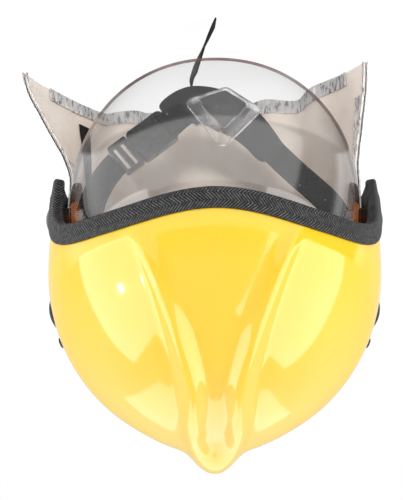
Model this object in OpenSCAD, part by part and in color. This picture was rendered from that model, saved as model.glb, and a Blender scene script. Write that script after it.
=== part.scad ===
// Firefighter helmet with visor, neck cape and chin strap.
// The front is towards -Y, the wearer's left is +X and the crown is up.
// The origin is the centre of the head space, level with the shell's widest section.

/* [Shell] */
// Width of the shell at its widest section
shell_w = 240; // [220:1:270]
// Length of the shell, front to back
shell_l = 300; // [280:1:330]
// Height of the dome above the widest section, without the crest
dome_h = 125; // [110:1:140]
// Vertical half axis of the skirt's slow inward curve
skirt_curve = 260; // [200:5:400]
// Wall of the shell
shell_t = 3.2; // [2.4:0.1:4]

/* [Ribs and crest] */
// Height of the crest over the dome
crest_h = 17; // [6:0.5:22]
// Half width of the crest at its foot
crest_half = 24; // [16:1:32]
// Half width of each front rib at its foot
rib_half = 8.5; // [6:0.5:12]
// Azimuth of a rib at the front rim, in degrees from the middle
rib_az = 28.4; // [18:0.2:32]
// Distance of a rib from the middle plane near the crown
rib_gap = 15; // [9:0.5:20]

/* [Rim and ear flaps] */
// Drop of the front rim below the widest section
rim_drop = 10.9; // [6:0.1:14]
// Rise of the brow from the front middle to the temples
brow_rise = 7.5; // [0:0.5:10]
// Drop of the ear flaps and the back below the widest section
flap_drop = 65.5; // [64.5:0.5:74]
// Distance of the flap's front edge forward of the middle
flap_front = 60; // [54:1:66]
// Backward lean of the flap's front edge, in degrees
flap_lean = 9; // [4:1:16]
// Length of the long bend between brow and flap
corner_l = 54; // [40:1:60]
// Height of that bend
corner_h = 32; // [26:1:34]
// Radius of the flap's lower front corner
flap_round = 11; // [9:0.5:14]
// Upward slant of the flap's lower edge towards the front, in degrees
flap_slant = 16; // [8:1:18]
// Share by which the temples are fuller than an oval
temple_swell = 0.028; // [0:0.002:0.04]

/* [Edge trim] */
// Wall of the rubber trim on each side of the shell
trim_t = 2.1; // [1.6:0.1:3]
// Height of the trim's legs on the shell
trim_leg = 12.2; // [9:0.1:13]
// Rubber beyond the shell's edge
trim_lip = 2.4; // [1.5:0.1:4]

/* [Visor] */
// Gap between the visor and the trim's inside at the brow
visor_gap = 8; // [5:0.5:11]
// Length of the spacer between each visor ear and the shell
spacer_len = 8; // [6:0.5:12]
// Fullness of the visor's curve, where 2 is an ellipse
visor_full = 2.12; // [2:0.02:2.3]
// Wall of the visor
visor_t = 2.2; // [1.5:0.1:3]
// Lower edge of the visor, in degrees below the horizon
visor_low = 38; // [30:1:42]
// Upper edge of the visor, in degrees above the horizon
visor_high = 27; // [25:1:29]
// Radius of the round ears at the pivots
ear_r = 15; // [12:0.5:17]

/* [Visor pivot] */
// Distance of the pivot forward of the middle
pivot_front = 10; // [6:0.5:14]
// Drop of the pivot below the widest section
pivot_drop = 40.5; // [38:0.5:46]
// Radius of the pivot bolt
bolt_r = 4; // [3:0.25:5]
// Radius of the cover over the bolt's head
cap_r = 11.5; // [9:0.5:11.5]
// Height of that cover over the shell
cap_h = 4.6; // [4.2:0.1:7]

/* [Side fittings] */
// Radius of the round side fitting
fitting_r = 11.5; // [8:0.5:14]
// Height of the side fitting over the shell
fitting_h = 3.2; // [2:0.2:6]
// Height of its middle above the widest section
fitting_up = 25; // [18:0.5:32]
// Radius of the small fixing above it
fixing_r = 4.5; // [3:0.25:6]

/* [Impact liner] */
// Wall of the foam liner behind the visor's path
liner_t = 16; // [10:0.5:18]
// Wall of the liner inside the visor's path
liner_front_t = 6; // [4:0.5:7]
// Height of the liner's lower edge
liner_edge = 6; // [4:0.5:12]
// Room between the liner and the raised visor
liner_room = 3; // [2:0.25:5]

/* [Head harness] */
// Room between the headband and the shell's outside at each side
band_side = 41; // [39:1:45]
// Room between the headband and the shell's outside at the front and the back
band_end_room = 49; // [47:1:53]
// Height of the headband
band_h = 30; // [24:1:34]
// Height of the headband's lower edge, below the widest section
band_drop = 14; // [10:1:16]
// Wall of the headband
band_t = 2; // [1.4:0.1:2.6]
// Wall of the sweatband pad
sweat_t = 5; // [3:0.5:7]
// Width of the crown straps
crown_strap_w = 20; // [14:1:26]
// Height of the crown straps' crossing
crown_top = 77; // [70:1:78]
// Radius of the crown pad
crown_pad_r = 32; // [24:1:38]
// Wall of the crown pad
crown_pad_t = 8; // [5:0.5:10]

/* [Nape ratchet] */
// Pitch radius of the pinion
pinion_r = 5; // [5:0.25:6]
// Teeth on the pinion
pinion_teeth = 10; // [10:2:12]
// Height of the toothed band ends
rack_h = 18; // [17:0.5:20]
// Wall of a toothed band end
rack_t = 1.5; // [1.2:0.1:1.8]
// Radius of the knob
knob_r = 15; // [12:0.5:18]
// Depth of the knob
knob_d = 11; // [8:0.5:13]

/* [Neck cape] */
// Drop of the hem at the front corners
hem_front = 155; // [130:1:170]
// Drop of the hem at the back
hem_back = 186; // [160:1:200]
// Depth of the cape's folds
fold_d = 5; // [0:0.5:8]
// Outward flare of the left front corner
flare_left = 34; // [0:1:40]
// Outward flare of the right front corner
flare_right = 6; // [0:1:30]
// Wall of the aluminised cloth
cloth_t = 1; // [0.8:0.1:1.4]
// Wall of the lining
lining_t = 0.8; // [0.6:0.1:1.2]

/* [Chin strap] */
// Width of the webbing
strap_w = 20; // [16:1:25]
// Wall of the webbing
strap_t = 1.6; // [1.2:0.1:2]
// Radius of the anchor pin
pin_r = 3; // [2.5:0.25:3.5]
// Distance of the strap behind the middle
strap_back = 12; // [11:0.5:16]
// Width of the chin pad in its middle
chin_pad_w = 32; // [26:1:36]
// Wall of the chin pad
chin_pad_t = 3.6; // [2.4:0.2:5]
// Depth of the clear chin cup
cup_d = 15; // [10:0.5:18]
// Wall of the chin cup
cup_t = 2; // [1.4:0.1:2.6]

/* [Buckle] */
// Width of the buckle
buckle_w = 27; // [25:0.5:32]
// Thickness of the buckle body
buckle_t = 9; // [8:0.5:11]
// Wall of the buckle body
buckle_wall = 1.8; // [1.4:0.1:2.2]
// Inward travel of each squeeze prong
prong_travel = 2.5; // [1.5:0.1:3]

/* [Hidden] */
$fn = 48;

half_w = shell_w / 2;
half_l = shell_l / 2;
// Clearance between pieces that rest on each other
seat = 0.3;
// Clearance of a pin in a turning bore
run = 0.05;
// Overshoot of a cutter past the face that it opens
over = 1;

// Curves and blends

function smooth(a, b, v) = let (t = min(1, max(0, (v - a) / (b - a)))) t * t * (3 - 2 * t);
function mix(p, q, t) = p + (q - p) * t;
function unit(v) = v / norm(v);
function bezier(p, t) =
    pow(1 - t, 3) * p[0] + 3 * pow(1 - t, 2) * t * p[1] + 3 * (1 - t) * t * t * p[2] + pow(t, 3) * p[3];
function bezier_way(p, t) =
    unit(pow(1 - t, 2) * (p[1] - p[0]) + 2 * (1 - t) * t * (p[2] - p[1]) + t * t * (p[3] - p[2]));
function reversed(v) = [for (i = [len(v) - 1:-1:0]) v[i]];

// Row of m point numbers from one on
function numbers(from, m) = [for (i = [0:m - 1]) from + i];
// Triangles between two rings of point numbers
function between(a, b) =
    let (m = len(a))
    [for (i = [0:m - 1]) let (j = (i + 1) % m) each [[a[i], a[j], b[j]], [a[i], b[j], b[i]]]];

// Closed skin over rings from one pole to another
module poled_skin(top, rings, bottom) {
    m = len(rings[0]);
    n = len(rings);
    last = m * n + 1;
    polyhedron(
        points = concat([top], [for (r = rings) each r], [bottom]),
        faces = concat(
            [for (i = [0:m - 1]) [0, 1 + (i + 1) % m, 1 + i]],
            [for (k = [0:n - 2]) each between(numbers(1 + k * m, m), numbers(1 + (k + 1) * m, m))],
            [for (i = [0:m - 1]) [last, last - m + i, last - m + (i + 1) % m]]
        )
    );
}

// Closed skin over rings that run round in a loop
module looped_skin(rings) {
    m = len(rings[0]);
    n = len(rings);
    polyhedron(
        points = [for (r = rings) each r],
        faces = [for (k = [0:n - 1]) each between(numbers(k * m, m), numbers(((k + 1) % n) * m, m))]
    );
}

// Closed skin over thin rings, each a row of points there and back, with both ends shut
module sheet_skin(rings) {
    m = len(rings[0]);
    n = len(rings);
    far = (n - 1) * m;
    polyhedron(
        points = [for (r = rings) each r],
        faces = concat(
            [for (k = [0:n - 2]) each between(numbers(k * m, m), numbers((k + 1) * m, m))],
            [for (i = [0:m / 2 - 2]) each [[i, m - 2 - i, i + 1], [i, m - 1 - i, m - 2 - i]]],
            [for (i = [0:m / 2 - 2]) each [[far + i, far + i + 1, far + m - 2 - i],
                                           [far + i, far + m - 2 - i, far + m - 1 - i]]]
        )
    );
}

// Shell surface. An azimuth is 0 at the front, 90 at the wearer's left and 180 at the back.

function share(z) = sqrt(max(0, 1 - pow(z / (z >= 0 ? dome_h : skirt_curve), 2)));
// The temples are fuller than the oval, ahead of the ears and below the brow.
function swollen(p) = [
    p[0] * (1 + temple_swell * smooth(-25, -85, p[1]) * smooth(-150, -95, p[1]) * smooth(70, 10, p[2])), p[1], p[2]
];
function wall_point(az, z) = swollen([half_w * share(z) * sin(az), -half_l * share(z) * cos(az), z]);
function dome_point(az, fall) =
    [half_w * sin(fall) * sin(az), -half_l * sin(fall) * cos(az), dome_h * cos(fall)];
function outward(p) =
    unit([p[0] / pow(half_w, 2), p[1] / pow(half_l, 2), p[2] / pow(p[2] >= 0 ? dome_h : skirt_curve, 2)]);
function azimuth_at(y, z) = acos(-y / (half_l * share(z)));
// Half width of the shell's outside at a place in side view
function wall_x(y, z) = half_w * share(z) * sin(azimuth_at(y, z));

// Angle of a place on the dome, from 0 at the front over 90 at the crown to 180 at the back
function climb(p) = p[2] <= 0 ? (p[1] < 0 ? 0 : 180) : atan2(p[2] / dome_h, -p[1] / half_l);

// Two ribs rise from the brow, close in and join in one crest, which fades out at the back.
rib_knee = 56;
function rib_line(u) =
    rib_gap + (half_w * sin(rib_az) - rib_gap) * max(pow(max(0, 1 - u / rib_knee), 1.42), smooth(120, 180, u));
function rib_foot(u) = rib_half * mix(0.6, 1, smooth(0, 40, u));
function rib_top(u) =
    crest_h * smooth(1, 14, u) * (0.28 + 0.2 * smooth(10, 60, u) + 0.52 * smooth(72, 104, u)) * smooth(178, 128, u);
// The flat valley between the ribs ends in a round arch, and the crest's front climbs from it.
arch = [74, 82];
valley_half = rib_gap - rib_half;
// Share of the crest's height that is a broad swelling of the crown
crown_swell = 0.18;
function valley_side(p, u) =
    let (edge = rib_line(min(u, 90)) - rib_foot(u),
         x = max(0, valley_half + (abs(p[0]) - edge) * rib_half / rib_foot(u)) / valley_half,
         t = max(0, u - arch[0]) / (arch[1] - arch[0]),
         e = max(0.01, norm([x, t])))
    smooth(1, 1.8 + 0.95 * t / e, e);
function rise(p) =
    let (u = climb(p),
         crown = smooth(72, 100, u),
         foot = mix(rib_line(min(u, 90)) + rib_foot(u), crest_half, crown),
         brink = mix(rib_line(min(u, 90)) + 0.3 * rib_foot(u), 0.05 * crest_half, crown))
    rib_top(u) * (mix(1, 1 - crown_swell, crown) * smooth(foot, brink, abs(p[0])) * valley_side(p, u)
        + crown_swell * crown * smooth(62, 10, abs(p[0])));

// Rim stations, each an azimuth and a height, from the front middle to the ear
function brow(az) = -rim_drop + brow_rise * smooth(0, 36, az);
temple_z = brow(90);
corner_turn = atan(corner_l / (corner_h * tan(flap_lean)));
corner_y = -flap_front - corner_l;
function corner(t) = [corner_y + corner_l * sin(t), temple_z - corner_h * (1 - cos(t))];
edge_top = corner(corner_turn);
// The lower edge slants down to the back and levels out at the ear.
level_y = 10;
lean = tan(flap_lean);
slant = tan(flap_slant);
function low_edge(y) = -flap_drop + slant * (-y < 2 * level_y ? y * y / (4 * level_y) : -y - level_y);
round_from = edge_top[0] + edge_top[1] * lean + flap_round / cos(flap_lean);
round_over = -flap_drop - level_y * slant + flap_round / cos(flap_slant);
round_y = (round_from - round_over * lean) / (1 - slant * lean);
round_z = round_over - round_y * slant;
function low_corner(t) = [round_y - flap_round * cos(t), round_z - flap_round * sin(t)];
low_end = low_corner(90 - flap_slant)[0];
function station(p) = [azimuth_at(p[0], p[1]), p[1]];
temple_az = azimuth_at(corner_y, temple_z);
rib_cols = 7;
side_cols = 3;
front_half = concat(
    [for (i = [0:rib_cols]) let (az = rib_az * i / rib_cols) [az, brow(az)]],
    [for (i = [1:side_cols]) let (az = mix(rib_az, temple_az, i / side_cols)) [az, brow(az)]],
    [for (i = [1:6]) station(corner(corner_turn * i / 6))],
    [for (i = [0:4]) station(low_corner(mix(flap_lean, 90 - flap_slant, i / 4)))],
    [for (y = [(low_end - 2 * level_y) / 2, -2 * level_y, -level_y]) station([y, low_edge(y)])],
    [[90, -flap_drop]]
);
cols = len(front_half) - 1;
// Columns from the right ear to the left one, without the ears themselves
spread = [for (j = [1 - cols:cols - 1]) j];
rim = concat(
    [for (j = spread) [sign(j) * front_half[abs(j)][0], front_half[abs(j)][1]]],
    [[90, -flap_drop]],
    [for (j = reversed(spread)) [180 - sign(j) * front_half[abs(j)][0], -flap_drop]],
    [[-90, -flap_drop]]
);

// Crowding of the columns at the ribs and at the ears
rib_draw = 0.65;

// Dome grid: rows climb from the front over the crown to the back, and the columns follow the ribs.
function lateral(j, u) =
    let (guide = asin(rib_line(u) / half_w), t = (front_half[j][0] - rib_az) / (90 - rib_az))
    j <= rib_cols ? guide * j / rib_cols : guide + (90 - guide) * (t - rib_draw * sin(u) * sin(360 * t) / (2 * PI));
function dome_grid(rows, depth) = concat(
    [for (u = rows, j = spread)
        let (side = sign(j) * lateral(abs(j), u),
             p = [half_w * sin(side), -half_l * cos(side) * cos(u), dome_h * cos(side) * sin(u)])
        swollen(p) + outward(p) * (rise(p) - depth)],
    [[half_w - depth, 0, 0], [depth - half_w, 0, 0]]
);
// Point numbers of the grid's edge, in the order of the rim
function grid_edge(rows, from) =
    let (m = len(spread), ears = from + len(rows) * m)
    concat(numbers(from, m), [ears], reversed(numbers(ears - m, m)), [ears + 1]);
function grid_faces(rows, from) =
    let (m = len(spread), ears = from + len(rows) * m)
    [for (i = [0:len(rows) - 2])
        let (a = from + i * m, b = a + m)
        each concat(
            [for (k = [0:m - 2]) each k < cols - 1
                ? [[a + k, b + k + 1, a + k + 1], [a + k, b + k, b + k + 1]]
                : [[a + k, b + k, a + k + 1], [a + k + 1, b + k, b + k + 1]]],
            [[a + m - 1, b + m - 1, ears], [ears + 1, b, a]]
        )];
function flipped(faces) = [for (f = faces) reversed(f)];

out_rows = concat([for (u = [0:6:54]) u], [for (u = [57:3:93]) u], [for (u = [99:9:180]) u]);
in_rows = [for (u = [0:10:180]) u];
skirt_rows = 2;
function skirt_ring(row, depth) =
    [for (s = rim) let (p = wall_point(s[0], s[1] * row / skirt_rows)) p - outward(p) * depth];

module outer_shell() {
    skin_out = dome_grid(out_rows, 0);
    skin_in = dome_grid(in_rows, shell_t);
    m = len(rim);
    first = len(skin_out);
    inside = first + 2 * skirt_rows * m;
    rings = concat(
        [grid_edge(out_rows, 0)],
        [for (k = [0:2 * skirt_rows - 1]) numbers(first + k * m, m)],
        [grid_edge(in_rows, inside)]
    );
    color("gold")
    difference() {
        polyhedron(
            points = concat(
                skin_out,
                [for (r = [1:skirt_rows]) each skirt_ring(r, 0)],
                [for (r = [skirt_rows:-1:1]) each skirt_ring(r, shell_t)],
                skin_in
            ),
            faces = concat(
                grid_faces(out_rows, 0),
                [for (k = [0:len(rings) - 2]) each between(rings[k], rings[k + 1])],
                flipped(grid_faces(in_rows, inside))
            )
        );
        both_sides() at_pivot() cylinder(r = bolt_r + seat, h = half_w + over);
    }
}

// U-shaped rubber on the shell's edge, a press fit on its wall
module edge_trim() {
    n = len(rim);
    outer = [for (s = rim) wall_point(s[0], s[1])];
    middle = [for (p = outer) p - outward(p) * shell_t / 2];
    reach = shell_t / 2 + trim_t;
    grip = shell_t / 2 + seat / 2;
    ease = trim_t / 2;
    section = [
        [reach, ease - trim_leg], [reach, trim_lip - ease], [reach - ease, trim_lip], [ease - reach, trim_lip],
        [-reach, trim_lip - ease], [-reach, ease - trim_leg], [ease - reach, -trim_leg], [-grip, -trim_leg],
        [-grip, 0], [grip, 0], [grip, -trim_leg], [reach - ease, -trim_leg]
    ];
    color("dimgray")
    looped_skin([
        for (i = [0:n - 1])
            let (along = unit(middle[(i + 1) % n] - middle[(i + n - 1) % n]),
                 out = outward(outer[i]),
                 away = unit(cross(along, out)))
            [for (q = section) middle[i] + out * q[0] + away * q[1]]
    ]);
}

// Visor and its pivot

pivot_y = -pivot_front;
pivot_z = -pivot_drop;
pivot_wall = wall_x(pivot_y, pivot_z);
spacer_r = bolt_r + 4;
spacer_end = wall_x(pivot_y - spacer_r, pivot_z - spacer_r) - shell_t - 2 * seat;
visor_half = spacer_end - spacer_len - seat;
trim_inside = half_l * share(-rim_drop) - shell_t - trim_t;
visor_r = norm([trim_inside - pivot_front, pivot_drop - rim_drop]) - visor_gap;
head_h = 1.6;
head_r = bolt_r * 1.6;
// The bolt's head clears the sloping wall all round.
head_from = wall_x(pivot_y + head_r, pivot_z + head_r) + seat;
washer_t = 1.2;
nut_h = 5.5;
ear_in = visor_half - visor_t - seat;
washer_x = ear_in - seat - washer_t;

module both_sides() {
    children();
    mirror([1, 0, 0]) children();
}

// Turns a shape along Z to run outward along the left pivot axis
module at_pivot() {
    translate([0, pivot_y, pivot_z]) rotate([0, 90, 0]) children();
}

function visor_line(room) = [
    for (a = [4:4.3:176.1])
        let (c = cos(a), s = sin(a), e = 2 / visor_full)
        [(visor_r - room) * pow(s, e), (visor_half - room) * sign(c) * pow(abs(c), e)]
];

module visor() {
    color("lightcyan", 0.5)
    difference() {
        union() {
            at_pivot() rotate([0, 0, -90 - visor_high]) rotate_extrude(angle = visor_low + visor_high)
                polygon(concat(visor_line(0), reversed(visor_line(visor_t))));
            both_sides() at_pivot() translate([0, 0, ear_in]) cylinder(r = ear_r, h = visor_half - ear_in);
        }
        at_pivot() cylinder(r = bolt_r + run, h = shell_w, center = true);
    }
}

module pivot_bolts() {
    tip = washer_x - seat - nut_h - 1;
    color("silver")
    both_sides() at_pivot() {
        translate([0, 0, tip]) cylinder(r = bolt_r, h = head_from + over - tip);
        translate([0, 0, head_from]) cylinder(r = head_r, h = head_h);
    }
}

module pivot_spacers() {
    color("dimgray")
    both_sides() at_pivot() translate([0, 0, visor_half + seat])
        difference() {
            cylinder(r = spacer_r, h = spacer_len);
            translate([0, 0, -over]) cylinder(r = bolt_r + run, h = half_w);
        }
}

module pivot_washers() {
    color("silver")
    both_sides() at_pivot() translate([0, 0, washer_x])
        difference() {
            cylinder(r = bolt_r * 2.2, h = washer_t);
            translate([0, 0, -over]) cylinder(r = bolt_r + run, h = washer_t + 2 * over);
        }
}

module pivot_nuts() {
    color("silver")
    both_sides() at_pivot() translate([0, 0, washer_x - nut_h])
        difference() {
            cylinder(r = bolt_r * 1.9, h = nut_h, $fn = 6);
            translate([0, 0, -over]) cylinder(r = bolt_r + run, h = nut_h + 2 * over);
        }
}

// Domed round cover that sits on the shell's side at a place in side view, lying on the wall
module side_dome(y, z, r, h) {
    p = [wall_x(y, z), y, z];
    n = outward(p);
    bend = pow(half_l, 2) / half_w;
    crown_r = (r * r + h * h) / (2 * h);
    translate(p) rotate([0, 90 - asin(n[2]), atan2(n[1], n[0])])
        difference() {
            rotate_extrude() intersection() {
                translate([0, h - crown_r]) circle(r = crown_r, $fn = 96);
                translate([0, -r / 4]) square([r, h + r / 4]);
            }
            translate([0, 0, seat - bend]) rotate([0, 90, 0]) cylinder(r = bend, h = 4 * r, center = true, $fn = 200);
        }
}

module pivot_cover() {
    difference() {
        side_dome(pivot_y, pivot_z, cap_r, cap_h);
        at_pivot() translate([0, 0, pivot_wall - over])
            cylinder(r = head_r + seat, h = head_from + head_h + seat + over - pivot_wall);
    }
}

module pivot_cover_left() {
    color("black") pivot_cover();
}

module pivot_cover_right() {
    color("black") mirror([1, 0, 0]) pivot_cover();
}

fitting_y = 12;

module side_fitting_left() {
    color("black") side_dome(fitting_y, fitting_up, fitting_r, fitting_h);
}

module side_fitting_right() {
    color("black") mirror([1, 0, 0]) side_dome(fitting_y, fitting_up, fitting_r, fitting_h);
}

// Small domed screw head above each side fitting
module side_fixings() {
    z = fitting_up + fitting_r + fixing_r + 6;
    p = [wall_x(fitting_y, z), fitting_y, z];
    n = outward(p);
    color("black") both_sides()
        translate(p) rotate([0, 90 - asin(n[2]), atan2(n[1], n[0])]) translate([0, 0, seat / 2]) rotate_extrude()
            polygon([[0, 0], [fixing_r, 0], [fixing_r - 1, 1.1], [fixing_r - 2.5, 1.6], [0, 1.6]]);
}

// Foam liner: against the shell behind, and inside the raised visor's path in front

liner_rows = 8;
liner_gap = 0.8;
pivot_mid = [0, pivot_y, pivot_z];
visor_room = visor_t + liner_room;
visor_lift = 44;
stowed = visor_high + visor_lift;
// Share from 0 in the raised visor's path to 1 behind it
function behind(p) = smooth(stowed + 9, stowed + 26, atan2(p[2] - pivot_z, pivot_y - p[1]));
function liner_outside(az, fall) =
    let (q = dome_point(az, fall),
         p = q - outward(q) * (shell_t + liner_gap),
         d = p - pivot_mid,
         way = unit(d),
         side = abs(way[0]) / (visor_half - visor_room),
         ahead = norm([way[1], way[2]]) / (visor_r - visor_room),
         reach = pow(pow(side, visor_full) + pow(ahead, visor_full), -1 / visor_full))
    pivot_mid + way * mix(min(reach, norm(d)), norm(d), behind(p));
function liner_inside(az, fall) =
    let (p = liner_outside(az, fall)) p - unit(p) * mix(liner_front_t, liner_t, behind(p));
liner_fall = acos(liner_edge / dome_h);
function liner_ring(row, inside) = [
    for (az = [0:9:351])
        let (fall = liner_fall * row / liner_rows)
        inside ? liner_inside(az, fall) : liner_outside(az, fall)
];
function on_edge(ring) = [for (p = ring) [p[0], p[1], liner_edge]];

module impact_liner() {
    color("dimgray")
    poled_skin(
        liner_outside(0, 0),
        concat(
            [for (r = [1:liner_rows - 1]) liner_ring(r, false)],
            [on_edge(liner_ring(liner_rows, false)), on_edge(liner_ring(liner_rows, true))],
            [for (r = [liner_rows - 1:-1:1]) liner_ring(r, true)]
        ),
        liner_inside(0, 0)
    );
}

// Head harness

band_a = half_w - band_side;
band_b = half_l - band_end_room;
band_low = -band_drop;
band_top = band_low + band_h;
// The back of the band bends about a centre of its own, round which the toothed ends slide.
nape_r = band_a * band_a / band_b;
nape_y = band_b - nape_r;
nape_z = band_low + band_h / 2;
band_end_angle = 24;
band_end = 180 - asin(nape_r * sin(band_end_angle) / band_a);

function oval(az, inset) = [(band_a - inset) * sin(az), -(band_b - inset) * cos(az)];

// Strip along the headband's oval between two insets and two azimuths
module oval_strip(from, to, inner, outer, h) {
    steps = 40;
    linear_extrude(h) polygon(concat(
        [for (i = [0:steps]) oval(mix(from, to, i / steps), outer)],
        [for (i = [steps:-1:0]) oval(mix(from, to, i / steps), inner)]
    ));
}

module headband() {
    color("black") translate([0, 0, band_low]) oval_strip(-band_end, band_end, band_t, 0, band_h);
}

module sweatband() {
    inset = band_t + seat;
    color("saddlebrown") translate([0, 0, band_low + 2]) oval_strip(-78, 78, inset + sweat_t, inset, band_h - 16);
}

strap_web = 1.2;
strap_corner = 40;
// Distance from the middle to the headband's inside, on a line at the straps' azimuth
crown_reach = 1 / norm([sin(strap_corner) / (band_a - band_t), cos(strap_corner) / (band_b - band_t)]);
// Room for the flat strap's edge beside the curved band
crown_room = crown_strap_w / 2 * 0.36;

// Flat strap that climbs from the headband and arches over the head
module crown_arch(lift) {
    a = crown_reach - crown_room;
    foot = band_top - 12;
    steps = 24;
    rise_h = crown_top + lift - band_top;
    function arch(w) = concat(
        [[a - w, foot]],
        [for (i = [0:steps]) let (t = 180 * i / steps) [(a - w) * cos(t), band_top + (rise_h - w) * sin(t)]],
        [[w - a, foot]]
    );
    rotate([90, 0, 0]) linear_extrude(crown_strap_w, center = true)
        polygon(concat(arch(0), reversed(arch(strap_web))));
}

module crown_strap_left() {
    color("black") rotate([0, 0, strap_corner - 90]) crown_arch(0);
}

module crown_strap_right() {
    color("black") rotate([0, 0, 90 - strap_corner]) crown_arch(strap_web + seat);
}

module crown_pad() {
    a = crown_reach - crown_room - strap_web;
    top = band_top + (crown_top - strap_web - band_top) * sqrt(1 - pow(crown_pad_r / a, 2)) - seat;
    edge = crown_pad_t / 3;
    color("gray") translate([0, 0, top - crown_pad_t]) rotate_extrude() union() {
        square([crown_pad_r - edge, crown_pad_t]);
        translate([0, edge]) square([crown_pad_r, crown_pad_t - edge]);
        translate([crown_pad_r - edge, edge]) circle(r = edge);
    }
}

// Angled lugs that hang the headband under the liner's edge
module band_hangers() {
    lug_w = 16;
    lug_t = 3;
    front_az = 38;
    back_az = 142;
    color("black") both_sides() {
        band_lug(front_az, 20, lug_w, lug_t);
        band_lug(back_az, 34, lug_w, lug_t);
    }
}

module band_lug(az, reach, w, t) {
    leg = 12;
    at = 1 / norm([sin(az) / band_a, cos(az) / band_b]);
    low = liner_edge - seat - leg;
    intersection() {
        rotate([0, 0, az - 90]) translate([at - 6, -w / 2, low]) difference() {
            cube([reach + 6, w, leg]);
            translate([6 + t + 2.5, -over, -over]) cube([reach, w + 2 * over, leg - t + over]);
        }
        difference() {
            cylinder(r = band_b + reach, h = leg * 2, center = true);
            translate([0, 0, -leg * 2]) linear_extrude(leg * 4)
                polygon([for (a = [0:4.5:355.5]) oval(a, -1.2 * seat)]);
        }
    }
}

// Nape ratchet: the pinion draws the two toothed band ends past each other

rack_in = nape_r + 1.3;
rack_gap = seat;
rack_end = 36;
rack_lap = 18;
tooth_pitch = 2 * PI * pinion_r / pinion_teeth;
tooth_up = 0.7;
tooth_down = 0.9;
tooth_tip = 0.35;
tooth_root = 0.85;
pinion_from = rack_in - 0.1;
housing_wall = 2.6;
housing_angle = 20;
slot_in = rack_in - seat;
slot_out = rack_in + 2 * rack_t + rack_gap + seat;
// The pinion's teeth end before the slot's curved wall.
pinion_len = sqrt(pow(slot_out, 2) - pow(pinion_r + tooth_up, 2)) - seat / 2 - pinion_from;
shaft_r = 3;
knob_from = nape_y + slot_out + housing_wall + seat;

// Places a shape drawn about the nape's centre, with its +X turned to the back of the head
module at_nape() {
    translate([0, nape_y, nape_z]) rotate([0, 0, 90]) children();
}

// Arc of a flat band about the nape's centre
module nape_arc(r, t, h, from, to) {
    rotate([0, 0, from]) translate([0, 0, -h / 2]) rotate_extrude(angle = to - from) translate([r, 0]) square([t, h]);
}

// Toothed band end. Its teeth point down at the pinion from the slot's upper edge.
module rack(r) {
    pitch_angle = tooth_pitch / (r + rack_t / 2) * 180 / PI;
    tip = pinion_r - tooth_up;
    low = pinion_r + tooth_down + seat;
    first = -rack_lap + 4;
    last = rack_end - 12;
    difference() {
        nape_arc(r, rack_t, rack_h, -rack_lap, rack_end);
        translate([0, 0, (tip - low) / 2]) nape_arc(r - over, rack_t + 2 * over, tip + low, first, last);
        for (i = [ceil(first / pitch_angle + 0.5):floor(last / pitch_angle - 0.5)])
            rotate([0, 0, i * pitch_angle]) tooth_space(r, tip);
    }
}

// Cutter for the space between two teeth
module tooth_space(r, tip) {
    top = pinion_r + tooth_down;
    root_half = tooth_pitch / 2 - tooth_root;
    mouth = tip - over / 2;
    mouth_half = root_half + (tooth_root - tooth_tip) * (top - mouth) / (top - tip);
    translate([r - over, 0, 0]) rotate([90, 0, 90]) linear_extrude(rack_t + 2 * over) polygon([
        [-mouth_half, mouth], [-root_half, top], [root_half, top], [mouth_half, mouth]
    ]);
}

module rack_left() {
    color("black") at_nape() mirror([0, 1, 0]) rack(rack_in);
}

module rack_right() {
    color("black") at_nape() mirror([0, 0, 1]) rack(rack_in + rack_t + rack_gap);
}

module ratchet_pinion() {
    color("white") at_nape() translate([pinion_from, 0, 0]) rotate([90, 0, 90]) {
        linear_extrude(pinion_len) union() {
            circle(r = pinion_r - tooth_down);
            for (i = [0:pinion_teeth - 1]) rotate([0, 0, 90 + i * 360 / pinion_teeth]) polygon([
                [pinion_r - tooth_down - 0.5, -tooth_root], [pinion_r - tooth_down, -tooth_root],
                [pinion_r + tooth_up, -tooth_tip], [pinion_r + tooth_up, tooth_tip],
                [pinion_r - tooth_down, tooth_root], [pinion_r - tooth_down - 0.5, tooth_root]
            ]);
        }
        cylinder(r = shaft_r, h = knob_from - nape_y - pinion_from + knob_d * 0.7);
    }
}

module ratchet_housing() {
    inner_h = rack_h + 2 * seat;
    outer_h = inner_h + 2 * housing_wall;
    color("black") at_nape() difference() {
        nape_arc(slot_in - housing_wall, slot_out - slot_in + 2 * housing_wall, outer_h, -housing_angle, housing_angle);
        nape_arc(slot_in, slot_out - slot_in, inner_h, -housing_angle - over, housing_angle + over);
        rotate([0, 90, 0]) cylinder(r = shaft_r + run, h = slot_out + housing_wall + over);
    }
}

// Fluted knob, bored for the pinion's shaft
module ratchet_knob() {
    flutes = 12;
    color("black") translate([0, knob_from, nape_z]) rotate([-90, 0, 0]) difference() {
        rotate_extrude() polygon([
            [0, 0], [knob_r, 0], [knob_r, knob_d - 2], [knob_r - 2, knob_d], [0, knob_d]
        ]);
        for (i = [0:flutes - 1]) rotate([0, 0, (i + 0.5) * 360 / flutes]) translate([knob_r + 1, 0, -over])
            cylinder(r = 2.4, h = knob_d + 2 * over);
        translate([0, 0, -over]) cylinder(r = shaft_r + run, h = knob_d * 0.7 + over + seat);
    }
}

module nape_pad() {
    pad_t = 5;
    color("gray") at_nape()
        nape_arc(slot_in - housing_wall - seat - pad_t, pad_t, band_h - 6, -housing_angle - 2, housing_angle + 2);
}

// Neck cape: a hanging sheet from one ear flap round the back to the other

cape_top = -flap_drop + trim_leg + trim_lip + 8;
cape_room = shell_t + trim_t + 0.6;
cape_a = half_w * share(-flap_drop) - cape_room;
cape_b = half_l * share(-flap_drop) - cape_room;
cape_from = 94;
cape_cols = 40;
cape_rows = 10;
fold_count = 7;
flare_fore = 28;
layer_gap = 0.7;
hem_start = 3 / cape_cols;

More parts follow.
